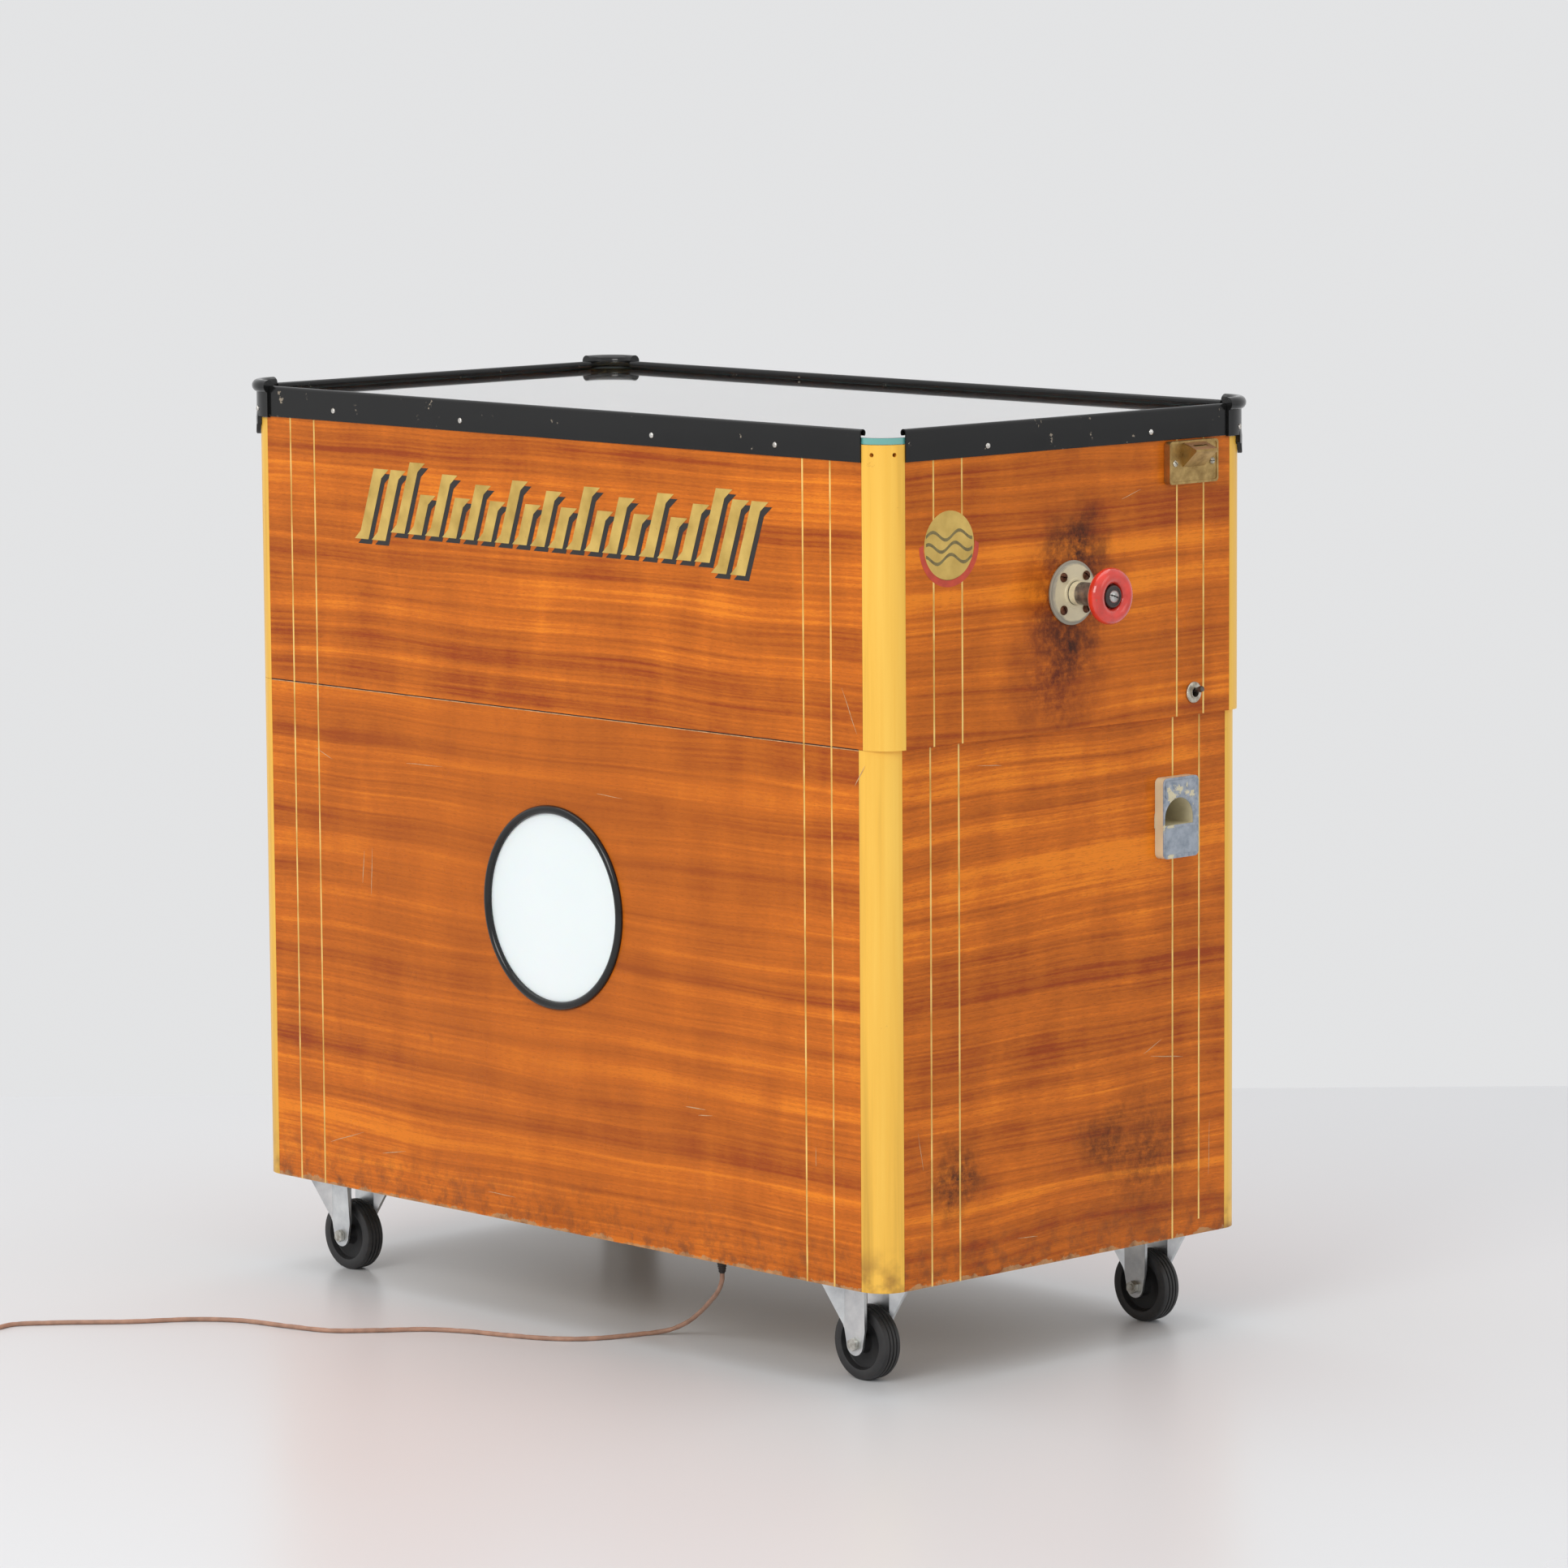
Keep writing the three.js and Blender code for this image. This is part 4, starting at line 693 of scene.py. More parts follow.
def screws(name, places, radius, material, body, slotted=False, turn=0.0):
    """places is a list of (point, direction); the heads sit on the points and look along the directions."""
    head_mesh = screw_head(slotted)
    head = bpy.data.objects.new(name + "_head", head_mesh)
    bpy.context.scene.collection.objects.link(head)
    mesh = bpy.data.meshes.new(name + "_points")
    mesh.from_pydata([tuple(point) for point, _ in places], [], [])
    facing = mesh.attributes.new("facing", "FLOAT_VECTOR", "POINT")
    for i, (_, direction) in enumerate(places):
        facing.data[i].vector = Vector(direction).normalized()
    carrier = bpy.data.objects.new(name + "_points", mesh)
    bpy.context.scene.collection.objects.link(carrier)
    tree, radius_id, turn_id = screw_tree(head, material)
    modifier = carrier.modifiers.new("screws", "NODES")
    modifier.node_group = tree
    modifier[radius_id] = radius
    modifier[turn_id] = turn
    bpy.context.view_layer.update()
    shown = carrier.evaluated_get(bpy.context.evaluated_depsgraph_get())
    result = bpy.data.meshes.new_from_object(shown)
    for spare in (carrier, head):
        bpy.data.objects.remove(spare)
    return finished(name, result, material, body, smooth=40)


# ---- stage and camera ----

CAMERA_PLACE = (-5.0662, -5.4098, 1.5233)
CAMERA_YAW = math.radians(-43.344)
CAMERA_PITCH = math.radians(7.351)
CAMERA_ROLL = math.radians(-0.391)
LENS_LENGTH = 157.97
FLOOR_END = 8.72


def camera_axes():
    yaw, pitch, roll = CAMERA_YAW, CAMERA_PITCH, CAMERA_ROLL
    back = Vector((math.sin(yaw) * math.cos(pitch), -math.cos(yaw) * math.cos(pitch), math.sin(pitch)))
    right = Vector((math.cos(yaw), math.sin(yaw), 0))
    up = back.cross(right)
    across = math.cos(roll) * right + math.sin(roll) * up
    upward = -math.sin(roll) * right + math.cos(roll) * up
    return across, upward, back


def area_light(name, place, target, width, height, power, tint=(1, 1, 1)):
    light = bpy.data.lights.new(name, "AREA")
    light.shape = "RECTANGLE"
    light.size, light.size_y = width, height
    light.energy = power
    light.color = tint
    lamp = bpy.data.objects.new(name, light)
    lamp.location = place
    lamp.rotation_euler = (Vector(target) - Vector(place)).to_track_quat("-Z", "Y").to_euler()
    bpy.context.scene.collection.objects.link(lamp)


def stage_mesh():
    """A floor that ends just behind the machine, where the pale surroundings begin."""
    away = Vector((-math.sin(CAMERA_YAW), math.cos(CAMERA_YAW), 0))
    side = Vector((math.cos(CAMERA_YAW), math.sin(CAMERA_YAW), 0))
    start = Vector((CAMERA_PLACE[0], CAMERA_PLACE[1], 0))
    near_edge, half_width = -30.0, 30.0
    points = [start + away * reach + side * half_width * hand
              for reach, hand in ((near_edge, -1), (near_edge, 1), (FLOOR_END, 1), (FLOOR_END, -1))]
    mesh = bpy.data.meshes.new("studio_floor")
    mesh.from_pydata([tuple(p) for p in points], [], [(0, 1, 2, 3)])
    return mesh


def stage_paint():
    shade = Shade("studio_paint", roughness=0.32, colour=(0.715, 0.725, 0.74), specular=0.35)
    cloud = shade.noise(scale=0.8, detail=2)
    shade.put("Roughness", shade.ramp(cloud, (0.3, 0.26), (0.7, 0.40)))
    return shade.material


class PUSHER_OT_stage(bpy.types.Operator):
    """Sets the camera, the pale floor and the soft studio lights."""
    bl_idname = "pusher.stage"
    bl_label = "Stage, lights and camera"

    def execute(self, context):
        across, upward, back = camera_axes()
        data = bpy.data.cameras.new("camera")
        data.lens = LENS_LENGTH
        data.sensor_width = 36.0
        data.clip_end = 60.0
        camera = bpy.data.objects.new("camera", data)
        turn = Matrix((across, upward, back)).transposed().to_4x4()
        camera.matrix_world = Matrix.Translation(CAMERA_PLACE) @ turn
        context.scene.collection.objects.link(camera)
        context.scene.camera = camera
        context.scene.view_settings.view_transform = "Standard"
        world = bpy.data.worlds.new("studio")
        world.use_nodes = True
        world.node_tree.nodes["Background"].inputs[0].default_value = (0.985, 0.99, 1.0, 1.0)
        world.node_tree.nodes["Background"].inputs[1].default_value = 0.78
        context.scene.world = world
        floor = bpy.data.objects.new("studio_floor", stage_mesh())
        floor.data.materials.append(stage_paint())
        context.scene.collection.objects.link(floor)
        goal = (0.0, 0.0, 0.5)
        area_light("key", (-4.6, -1.4, 3.2), goal, 2.6, 2.2, 92, (1.0, 0.985, 0.95))
        area_light("front", (1.6, -5.2, 2.6), goal, 2.4, 2.2, 12, (1.0, 0.99, 0.97))
        area_light("overhead", (0.3, 0.6, 4.6), goal, 4.5, 4.0, 62)
        return {"FINISHED"}


# ---- mains lead ----

# The route of the lead, in millimetres in the machine's own coordinates: out of the gland, down to
# the floor, and out from under the machine.
LEAD_ROUTE = [
    (-228, -214, 85.4), (-228, -214, 80), (-226.5, -210, 72), (-221, -198, 61), (-212, -178, 48),
    (-203, -152, 31), (-200, -128, 16), (-206, -108, 6), (-222, -94, 2.5), (-247, -86, 2.5),
    (-272, -77, 2.5), (-296, -62, 2.5), (-318, -35, 2.5), (-337, 6, 2.5), (-354, 52, 2.5),
    (-379, 92, 2.5), (-419, 125, 2.5), (-455, 160, 2.5), (-473, 212, 2.5), (-489, 268, 2.5),
    (-521, 310, 2.5), (-578, 350, 2.5), (-637, 402, 2.5), (-676, 428, 2.5),
]
COIL_CENTRE = (-738.0, 455.0)
COIL_RADII = (32.5, 27.4, 22.3, 22.3, 27.4, 32.5)
COIL_HEIGHTS = (2.5, 2.5, 2.5, 7.6, 7.6, 7.6)
COIL_START = math.radians(-84.8)
PLUG_TURN = math.atan2(0.728, 0.686)
STEPS_A_TURN = 60
CROSSOVER = 0.6
PLUG_GAP = 0.5


def smooth_route(points, per_span=8):
    """A centripetal Catmull-Rom curve through the points, as the CAD lead has."""
    points = [Vector(p) for p in points]
    first = points[0] * 2 - points[1]
    last = points[-1] * 2 - points[-2]
    whole = [first, *points, last]
    line = []
    for i in range(1, len(whole) - 2):
        p0, p1, p2, p3 = whole[i - 1:i + 3]
        t0 = 0.0
        t1 = t0 + max((p1 - p0).length, 1e-6) ** 0.5
        t2 = t1 + max((p2 - p1).length, 1e-6) ** 0.5
        t3 = t2 + max((p3 - p2).length, 1e-6) ** 0.5
        for k in range(per_span):
            t = t1 + (t2 - t1) * k / per_span
            a1 = p0 * ((t1 - t) / (t1 - t0)) + p1 * ((t - t0) / (t1 - t0))
            a2 = p1 * ((t2 - t) / (t2 - t1)) + p2 * ((t - t1) / (t2 - t1))
            a3 = p2 * ((t3 - t) / (t3 - t2)) + p3 * ((t - t2) / (t3 - t2))
            b1 = a1 * ((t2 - t) / (t2 - t0)) + a2 * ((t - t0) / (t2 - t0))
            b2 = a2 * ((t3 - t) / (t3 - t1)) + a3 * ((t - t1) / (t3 - t1))
            line.append(b1 * ((t2 - t) / (t2 - t1)) + b2 * ((t - t1) / (t2 - t1)))
    line.append(points[-1])
    return [Vector((p.x, p.y, max(p.z, points[-1].z))) for p in line]


def coil_line():
    """Turns beside and on each other, three in, a short climb, and three out again, then off to the plug."""
    end_turn = (COIL_START - (PLUG_TURN + math.pi / 2)) / (2 * math.pi) % 1.0
    total = len(COIL_RADII) - 1 + end_turn
    line = []
    steps = int(total * STEPS_A_TURN)
    for i in range(steps + 1):
        t = total * i / steps
        turn = min(int(t), len(COIL_RADII) - 1)
        part = t - turn
        radius, height = COIL_RADII[turn], COIL_HEIGHTS[turn]
        if turn + 1 < len(COIL_RADII) and part > 1 - CROSSOVER:
            s = (part - (1 - CROSSOVER)) / CROSSOVER
            ease = s * s * (3 - 2 * s)
            radius += (COIL_RADII[turn + 1] - radius) * ease
            height += (COIL_HEIGHTS[turn + 1] - height) * ease
            if COIL_HEIGHTS[turn + 1] != COIL_HEIGHTS[turn]:
                radius -= 2.5 * math.sin(math.pi * ease)
        angle = COIL_START - 2 * math.pi * t
        line.append(Vector((COIL_CENTRE[0] + radius * math.cos(angle),
                            COIL_CENTRE[1] + radius * math.sin(angle), height)))
    return line


def lead_line():
    coil = coil_line()
    entry = coil[0]
    straight = Vector((math.sin(COIL_START), -math.cos(COIL_START), 0))
    approach = [entry - straight * 40, entry - straight * 22]
    run = smooth_route([*LEAD_ROUTE, *[tuple(p) for p in approach], tuple(entry)])
    off = Vector((math.cos(PLUG_TURN), math.sin(PLUG_TURN), 0))
    plug_start = plug_face_distance()
    tail = [coil[-1] + off * d + Vector((0, 0, -1.1 * d / plug_start)) for d in (7, 14, 21, plug_start)]
    line = run[:-1] + coil + tail
    return [at(*p) for p in line]


def plug_face_distance():
    """How far past the last turn's tangent point the plug's back face is, in mm."""
    coil_outer, lead, plug_width = 35.0, 5.0, 26.0
    inner_edge = coil_outer - lead / 2 - plug_width / 2
    return math.sqrt(coil_outer ** 2 - inner_edge ** 2) + PLUG_GAP


def tube(name, line, radius_at, sides=12):
    """A closed tube along a line; radius_at gives the radius at a share of its length and an angle."""
    points, faces = [], []
    lengths = [0.0]
    for a, b in zip(line, line[1:]):
        lengths.append(lengths[-1] + (b - a).length)
    up = Vector((0, 1, 0))
    for i, p in enumerate(line):
        ahead = (line[min(i + 1, len(line) - 1)] - line[max(i - 1, 0)]).normalized()
        across = (up - ahead * up.dot(ahead)).normalized()
        up = across
        beside = ahead.cross(across)
        for j in range(sides):
            angle = 2 * math.pi * j / sides
            r = radius_at(lengths[i], angle)
            points.append(p + across * math.cos(angle) * r + beside * math.sin(angle) * r)
    for i in range(len(line) - 1):
        faces += quads(i * sides, (i + 1) * sides, sides)
    faces += end_faces((len(line) - 1) * sides, sides)
    return mesh_from(name, points, faces), lengths[-1]


class PUSHER_OT_lead(bpy.types.Operator):
    """Makes the mains lead with its gland, its coil, its tie and its plug."""
    bl_idname = "pusher.lead"
    bl_label = "Mains lead"

    def execute(self, context):
        looks = context.scene.pusher_lead
        radius = looks.diameter / 2
        line = lead_line()
        pitch = 0.055

        def twin(length, angle):
            groove = max(0.0, math.cos(2 * (angle - 2 * math.pi * length / pitch))) ** 6
            return radius * (1 - 0.17 * groove)

        mesh, length = tube("mains_lead", line, twin, sides=14)
        sleeve = lead_sleeve(looks)
        lead = finished("mains_lead", mesh, sleeve, "cabinet", smooth=60)
        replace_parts(lead, "power_cord", "cord_coil")
        dark = moulded("gland_moulding", (0.035, 0.028, 0.024), (0.018, 0.014, 0.012), 0.5)

        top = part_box("cord_gland")[1][2] / MM
        profile = [(0, 0), (10.2, 0), (10.2, -3.6), (9.4, -4.6), (6.4, -5.2)]
        for i in range(6):
            z = -6.6 - i * 2.5
            r = 6.0 - i * 0.42
            profile += [(r, z), (r, z - 1.3), (r - 0.9, z - 1.6), (r - 0.9, z - 2.2)]
        profile += [(3.1, -21.6), (2.7, -22), (0, -22)]
        spot = at(-228, -214, top)
        gland = finished("strain_relief", turned("strain_relief", profile, (0, 0, 1), spot, 32),
                         dark, "cabinet", smooth=35)
        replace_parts(gland, "cord_gland")

        plug = self.plug(dark)
        tie = self.tie()
        return {"FINISHED"}

    def plug(self, dark):
        along = Vector((math.cos(PLUG_TURN), math.sin(PLUG_TURN), 0))
        beside = Vector((-along.y, along.x, 0))
        start = at(*COIL_CENTRE, 0) + along * plug_face_distance() * MM + beside * 32.5 * MM

        def on_plug(a, b, out):
            return start + along * a + beside * b + Vector((0, 0, out))

        outline = rounded_box(0.020, 0, 0.032, 0.026, 0.006)
        body = plate("plug_body", outline, 0.0128, lambda a, b, out: on_plug(a, b, out + 0.0001),
                     rounding=0.0022)
        grip = plate("plug_grip", rounded_box(0.0045, 0, 0.009, 0.015, 0.003), 0.0100,
                     lambda a, b, out: on_plug(a, b, out + 0.0015), rounding=0.002)
        pins = []
        for hand in (-1, 1):
            axis_start = on_plug(0.034, hand * 0.0095, 0.0065)
            pins.append(turned("pin", [(0, 0), (2.4, 0), (2.4, 19.6), (1.9, 20.8), (0, 21)], along,
                               axis_start, 20))
        relief = turned("plug_relief", [(0, -21), (2.9, -21), (3.1, -20), (5.2, 0.5), (0, 0.5)], along,
                        start + Vector((0, 0, 0.0065)), 28)
        whole = finished("plug", joined("plug", body, grip, relief), dark, "cabinet", smooth=40)
        steel = worn_metal("plug_pin_metal", (0.72, 0.70, 0.66), (0.5, 0.48, 0.44), 0.25)
        prongs = finished("plug_pins", joined("plug_pins", *pins), steel, "cabinet", smooth=40)
        prongs.parent = whole
        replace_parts(whole, "mains_plug")
        return whole

    def tie(self):
        """A short band wound round all turns of the coil."""
        angle = COIL_START + math.radians(40)
        out = Vector((math.cos(angle), math.sin(angle), 0))
        ahead = Vector((-out.y, out.x, 0))
        centre = at(*COIL_CENTRE, 0) + out * 0.0274
        loop = rounded_box(0, 5.3, 16.0, 10.9, 2.4, 5)
        inner = rounded_box(0, 5.3, 15.2, 10.1, 2.1, 5)
        points, faces = [], []
        count = len(loop)
        for shift in (-0.003, 0.003):
            for ring in (loop, inner):
                points += [centre + out * n * MM + Vector((0, 0, max(h, 0.1) * MM)) + ahead * shift
                           for n, h in ring]
        for row, other in ((0, 2), (1, 3), (0, 1), (2, 3)):
            faces += quads(row * count, other * count, count)
        band = moulded("tie_band", (0.03, 0.03, 0.03), (0.015, 0.015, 0.015), 0.5)
        return finished("coil_tie", mesh_from("coil_tie", points, faces), band, "cabinet",
                        smooth=40)


# ---- case ----

STAIN_BROWN = (0.05, 0.012, 0.004)
STAIN_RED = (0.15, 0.020, 0.006)
INLAY_INSETS = (0.0709, 0.1115)
INLAY_OVERLAP = 0.002


class PUSHER_OT_case(bpy.types.Operator):
    """Finishes the veneered panels, the posts and the boards, and lays the inlay strings."""
    bl_idname = "pusher.case"
    bl_label = "Wooden case"

    def execute(self, context):
        looks = context.scene.pusher_case
        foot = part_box("lower_left_panel")[0][2]
        control = middle_of("knob_flange")
        top_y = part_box("upper_front_panel")[0][1]
        low_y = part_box("lower_front_panel")[0][1]
        # Each stain: its place, its reach, its depth and its colour.
        round_control = [((0.0, top_y, control.z), 0.085, 0.9, STAIN_RED),
                         ((0.01, top_y, control.z + 0.05), 0.060, 0.8, STAIN_BROWN),
                         ((-0.02, top_y, control.z - 0.085), 0.085, 0.75, STAIN_RED),
                         ((0.0, top_y, control.z - 0.05), 0.055, 0.8, STAIN_BROWN)]
        kicked = [((-0.165, low_y, 0.215), 0.055, 0.8, STAIN_BROWN),
                  ((0.05, low_y, 0.225), 0.045, 0.7, STAIN_BROWN),
                  ((0.12, low_y, 0.205), 0.10, 0.55, STAIN_BROWN)]
        for panel, seed, calm, stain in (("upper_left", 2.0, 0.0, ()), ("lower_left", 11.0, 0.85, ()),
                                         ("upper_front", 5.0, 0.0, round_control),
                                         ("lower_front", 8.4, 0.0, kicked),
                                         ("upper_right", 14.0, 0.0, ()), ("lower_right", 17.0, 0.7, ()),
                                         ("upper_back", 20.0, 0.0, ()), ("lower_back", 23.0, 0.0, ())):
            finish = veneer(f"veneer_{panel}", looks, calm, seed, stain,
                            foot if panel.startswith("lower") else None)
            dress(f"{panel}_panel", finish)
        dress("service_door", finish)
        upper, lower = post_wood("post_upper", looks), post_wood("post_lower", looks, foot)
        for corner in CORNERS:
            dress(f"upper_{corner}_post", upper)
            dress(f"lower_{corner}_post", lower)
        dress("bottom_board", plain_board("bottom_ply", (0.46, 0.31, 0.16), (0.30, 0.19, 0.09)))
        self.inlays(looks)
        return {"FINISHED"}

    def inlays(self, looks):
        """Pairs of pale strings near both vertical edges of each side."""
        string = Shade("inlay_maple", roughness=0.35, coat=0.2)
        tone = string.noise(string.stretch((90.0, 90.0, 30.0)), detail=4)
        string.put("Base Color", string.ramp(tone, (0.35, (0.66, 0.34, 0.05)), (0.6, (0.93, 0.62, 0.17))))
        meshes = []

        def lay(place, face, low, high, out):
            meshes.append(self.string(place, face, low, high, looks.inlay_width, looks.inlay_proud, out))

        cup_low, cup_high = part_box("payout_cup")
        for storey in ("lower", "upper"):
            low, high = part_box(f"{storey}_left_panel")
            front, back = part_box(f"{storey}_front_panel")[0][1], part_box(f"{storey}_back_panel")[1][1]
            foot, top = low[2], high[2]
            if storey == "upper":
                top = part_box("left_rail")[0][2] + INLAY_OVERLAP
            for inset in INLAY_INSETS:
                for x in (-HALF_WIDTH + inset, HALF_WIDTH - inset):
                    start = foot + (0.016 if storey == "lower" and x > 0.19 else 0.0)
                    if storey == "lower" and cup_low[0] < x < cup_high[0]:
                        lay(x, front, start, cup_low[2] + INLAY_OVERLAP, (0, -1))
                        start = cup_high[2] - INLAY_OVERLAP
                    if start < top - INLAY_OVERLAP:
                        lay(x, front, start, top, (0, -1))
                    lay(x, back, foot, top, (0, 1))
                for y in (MACHINE_SHIFT - HALF_LENGTH + inset, MACHINE_SHIFT + HALF_LENGTH - inset):
                    lay(y, -HALF_WIDTH, foot, top, (-1, 0))
                    lay(y, HALF_WIDTH, foot, top, (1, 0))
        finished("inlay_strings", joined("inlay_strings", *meshes), string.material, "cabinet")

    def string(self, place, face, low, high, width, proud, out):
        """One string with softened edges, let into a face that looks along out."""
        section = [(-width / 2, -0.0006), (-width / 2, proud * 0.3), (-width / 2 + 0.0003, proud),
                   (width / 2 - 0.0003, proud), (width / 2, proud * 0.3), (width / 2, -0.0006)]
        points = []
        for z in (low, high):
            for across, rise in section:
                if out[0]:
                    points.append(Vector((face + out[0] * rise, place + across, z)))
                else:
                    points.append(Vector((place + across, face + out[1] * rise, z)))
        count = len(section)
        return mesh_from("string", points, quads(0, count, count) + end_faces(count, count))


# ---- rails, caps and glass ----

CORNER_RADIUS = 0.031
CAP_OVER_RAIL = 0.006
RAIL_GAP, RAIL_SHEET = 0.0003, 0.0015
RAIL_PROUD = RAIL_GAP + RAIL_SHEET
SIDE_SCREWS = (352.5, 140.5, -163.9, -350.5)
SIDE_SCREW_Z, END_SCREW_Z = 969.5, 0.968


def rail_section(steps=20):
    """Sheet apron with a bead curled over the glass, as (out, up) in metres from the case face."""
    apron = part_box("left_rail")[0][2]
    glass_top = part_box("glass_top")[1][2]
    bead = 0.004
    height = glass_top + RAIL_GAP + bead
    centre = RAIL_PROUD - bead
    section = [(RAIL_GAP, apron), (RAIL_PROUD - 0.0004, apron), (RAIL_PROUD, apron + 0.0004)]
    section += arc(centre, height, bead, 0, 225, steps)
    section += arc(centre, height, bead - RAIL_SHEET, 225, 0, steps)
    return section


def cap_section():
    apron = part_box("left_rail")[0][2] - 0.001
    glass_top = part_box("glass_top")[1][2]
    gap, wall, bead, reach = 0.0003, 0.0043, 0.007, 0.0095
    centre = reach - bead
    height = glass_top + gap + bead + 0.0004
    outer = gap + wall
    start = -math.degrees(math.acos((outer - centre) / bead))
    end = 360 - math.degrees(math.acos((gap - centre) / bead))
    section = [(gap, apron), (outer - 0.0006, apron), (outer, apron + 0.0006)]
    return section + arc(centre, height, bead, start, end, 26)


def cap_mesh(name, corner_centre, turn, steps):
    """A corner cap: the section carried round the post, with a notched tongue below it."""
    section = cap_section()
    spin = Matrix.Rotation(turn, 3, "Z")

    def station(x, y, out_x, out_y):
        return corner_centre + spin @ Vector((x, y, 0)), spin @ Vector((out_x, out_y, 0))

    stations = [station(CAP_OVER_RAIL, -CORNER_RADIUS, 0, -1)]
    quarter = steps // 4
    for i in range(quarter + 1):
        angle = math.radians(270 - 90 * i / quarter)
        out = (math.cos(angle), math.sin(angle))
        stations.append(station(out[0] * CORNER_RADIUS, out[1] * CORNER_RADIUS, *out))
    stations.append(station(-CORNER_RADIUS, CAP_OVER_RAIL, -1, 0))
    collar = swept(name, section, stations)
    apron = section[0][1]
    half, count = 0.014, 28

    def drop(s):
        share = abs(s) / half
        if share > 0.98:
            return 0.0078
        if share > 0.60:
            return 0.0095
        if share > 0.52:
            return 0.0125
        return 0.0200 - 0.0062 * (share / 0.52) ** 1.6

    points, faces = [], []
    for i in range(count + 1):
        s = -half + 2 * half * i / count
        angle = math.radians(225) + s / (CORNER_RADIUS + 0.005)
        out = Vector((math.cos(angle), math.sin(angle), 0))
        bottom = apron - drop(s)
        for r, z in ((0.0003, apron + 0.005), (0.0046, apron + 0.005), (0.0052, apron - 0.001),
                     (0.0052, bottom + 0.0008), (0.0044, bottom), (0.0003, bottom)):
            points.append(corner_centre + spin @ (out * (CORNER_RADIUS + r)) + Vector((0, 0, z)))
    for i in range(count):
        faces += quads(i * 6, (i + 1) * 6, 6)
    faces += end_faces(count * 6, 6)
    return joined(name, collar, mesh_from("tongue", points, faces))


class PUSHER_OT_top(bpy.types.Operator):
    """Makes the black rails and corner caps and their screws, and finishes the glass."""
    bl_idname = "pusher.top"
    bl_label = "Glass top, rails and caps"

    def execute(self, context):
        looks = context.scene.pusher_trim
        enamel = chipped_paint("rail_enamel", tuple(looks.enamel), (0.30, 0.25, 0.19), amount=0.7, size=60.0,
                               roughness=0.14, coat=0.1)
        cap_enamel = chipped_paint("cap_enamel", tuple(looks.enamel), (0.33, 0.30, 0.26), amount=0.35, size=70.0,
                                   roughness=0.12, coat=0.3)
        section = rail_section()
        for side, out in (("front", (0, -1)), ("right", (1, 0)), ("back", (0, 1)), ("left", (-1, 0))):
            low, high = corners(f"{side}_rail")
            out = Vector((*out, 0))
            if out.x:
                face = (high.x - RAIL_PROUD) if out.x > 0 else (low.x + RAIL_PROUD)
                ends = [Vector((face, low.y, 0)), Vector((face, high.y, 0))]
            else:
                face = (high.y - RAIL_PROUD) if out.y > 0 else (low.y + RAIL_PROUD)
                ends = [Vector((low.x, face, 0)), Vector((high.x, face, 0))]
            rail = swept(f"{side}_rail_sheet", section, [(end, out) for end in ends])
            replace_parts(finished(f"{side}_rail_sheet", rail, enamel, "cabinet", smooth=35),
                        f"{side}_rail")
        centres = self.corner_centres()
        turns = {"front_right": math.pi / 2, "rear_right": math.pi, "rear_left": -math.pi / 2}
        for corner, turn in turns.items():
            mesh = cap_mesh(f"{corner}_cap_casting", centres[corner], turn, looks.steps)
            piece = finished(f"{corner}_cap_casting", mesh, cap_enamel, "cabinet", smooth=40)
            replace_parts(piece, f"{corner}_cap")
        dress("glass_top", clear_glass())
        self.rail_screws(looks, centres, turns)
        return {"FINISHED"}

    def corner_centres(self):
        centres = {}
        for name in CORNERS:
            low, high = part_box(f"upper_{name}_post")
            x = low[0] if name.endswith("right") else high[0]
            y = low[1] if name.startswith("rear") else high[1]
            centres[name] = Vector((x, y, 0))
        return centres

    def rail_screws(self, looks, centres, turns):
        bright = worn_metal("screw_nickel", (0.80, 0.78, 0.74), (0.42, 0.38, 0.33), 0.22, 200.0)
        left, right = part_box("left_rail")[0][0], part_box("right_rail")[1][0]
        front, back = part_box("front_rail")[0][1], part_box("back_rail")[1][1]
        places = [(Vector((x, *at(0, y, SIDE_SCREW_Z).yz)), (way, 0, 0)) for x, way in ((left, -1), (right, 1))
                  for y in SIDE_SCREWS]
        places += [(Vector((x * MM, front, END_SCREW_Z)), (0, -1, 0)) for x in (-122.8, 117.4)]
        places += [(Vector((x * MM, back, END_SCREW_Z)), (0, 1, 0)) for x in (-117.4, 122.8)]
        for corner, turn in turns.items():
            for hand in (-1, 1):
                angle = math.radians(225 + 22 * hand) + turn
                out = Vector((math.cos(angle), math.sin(angle), 0))
                spot = centres[corner] + out * (CORNER_RADIUS + 0.0046)
                places.append((Vector((spot.x, spot.y, 0.966)), tuple(out)))
        screws("rail_screws", places, looks.screw_radius, bright, "cabinet")


# ---- window ----

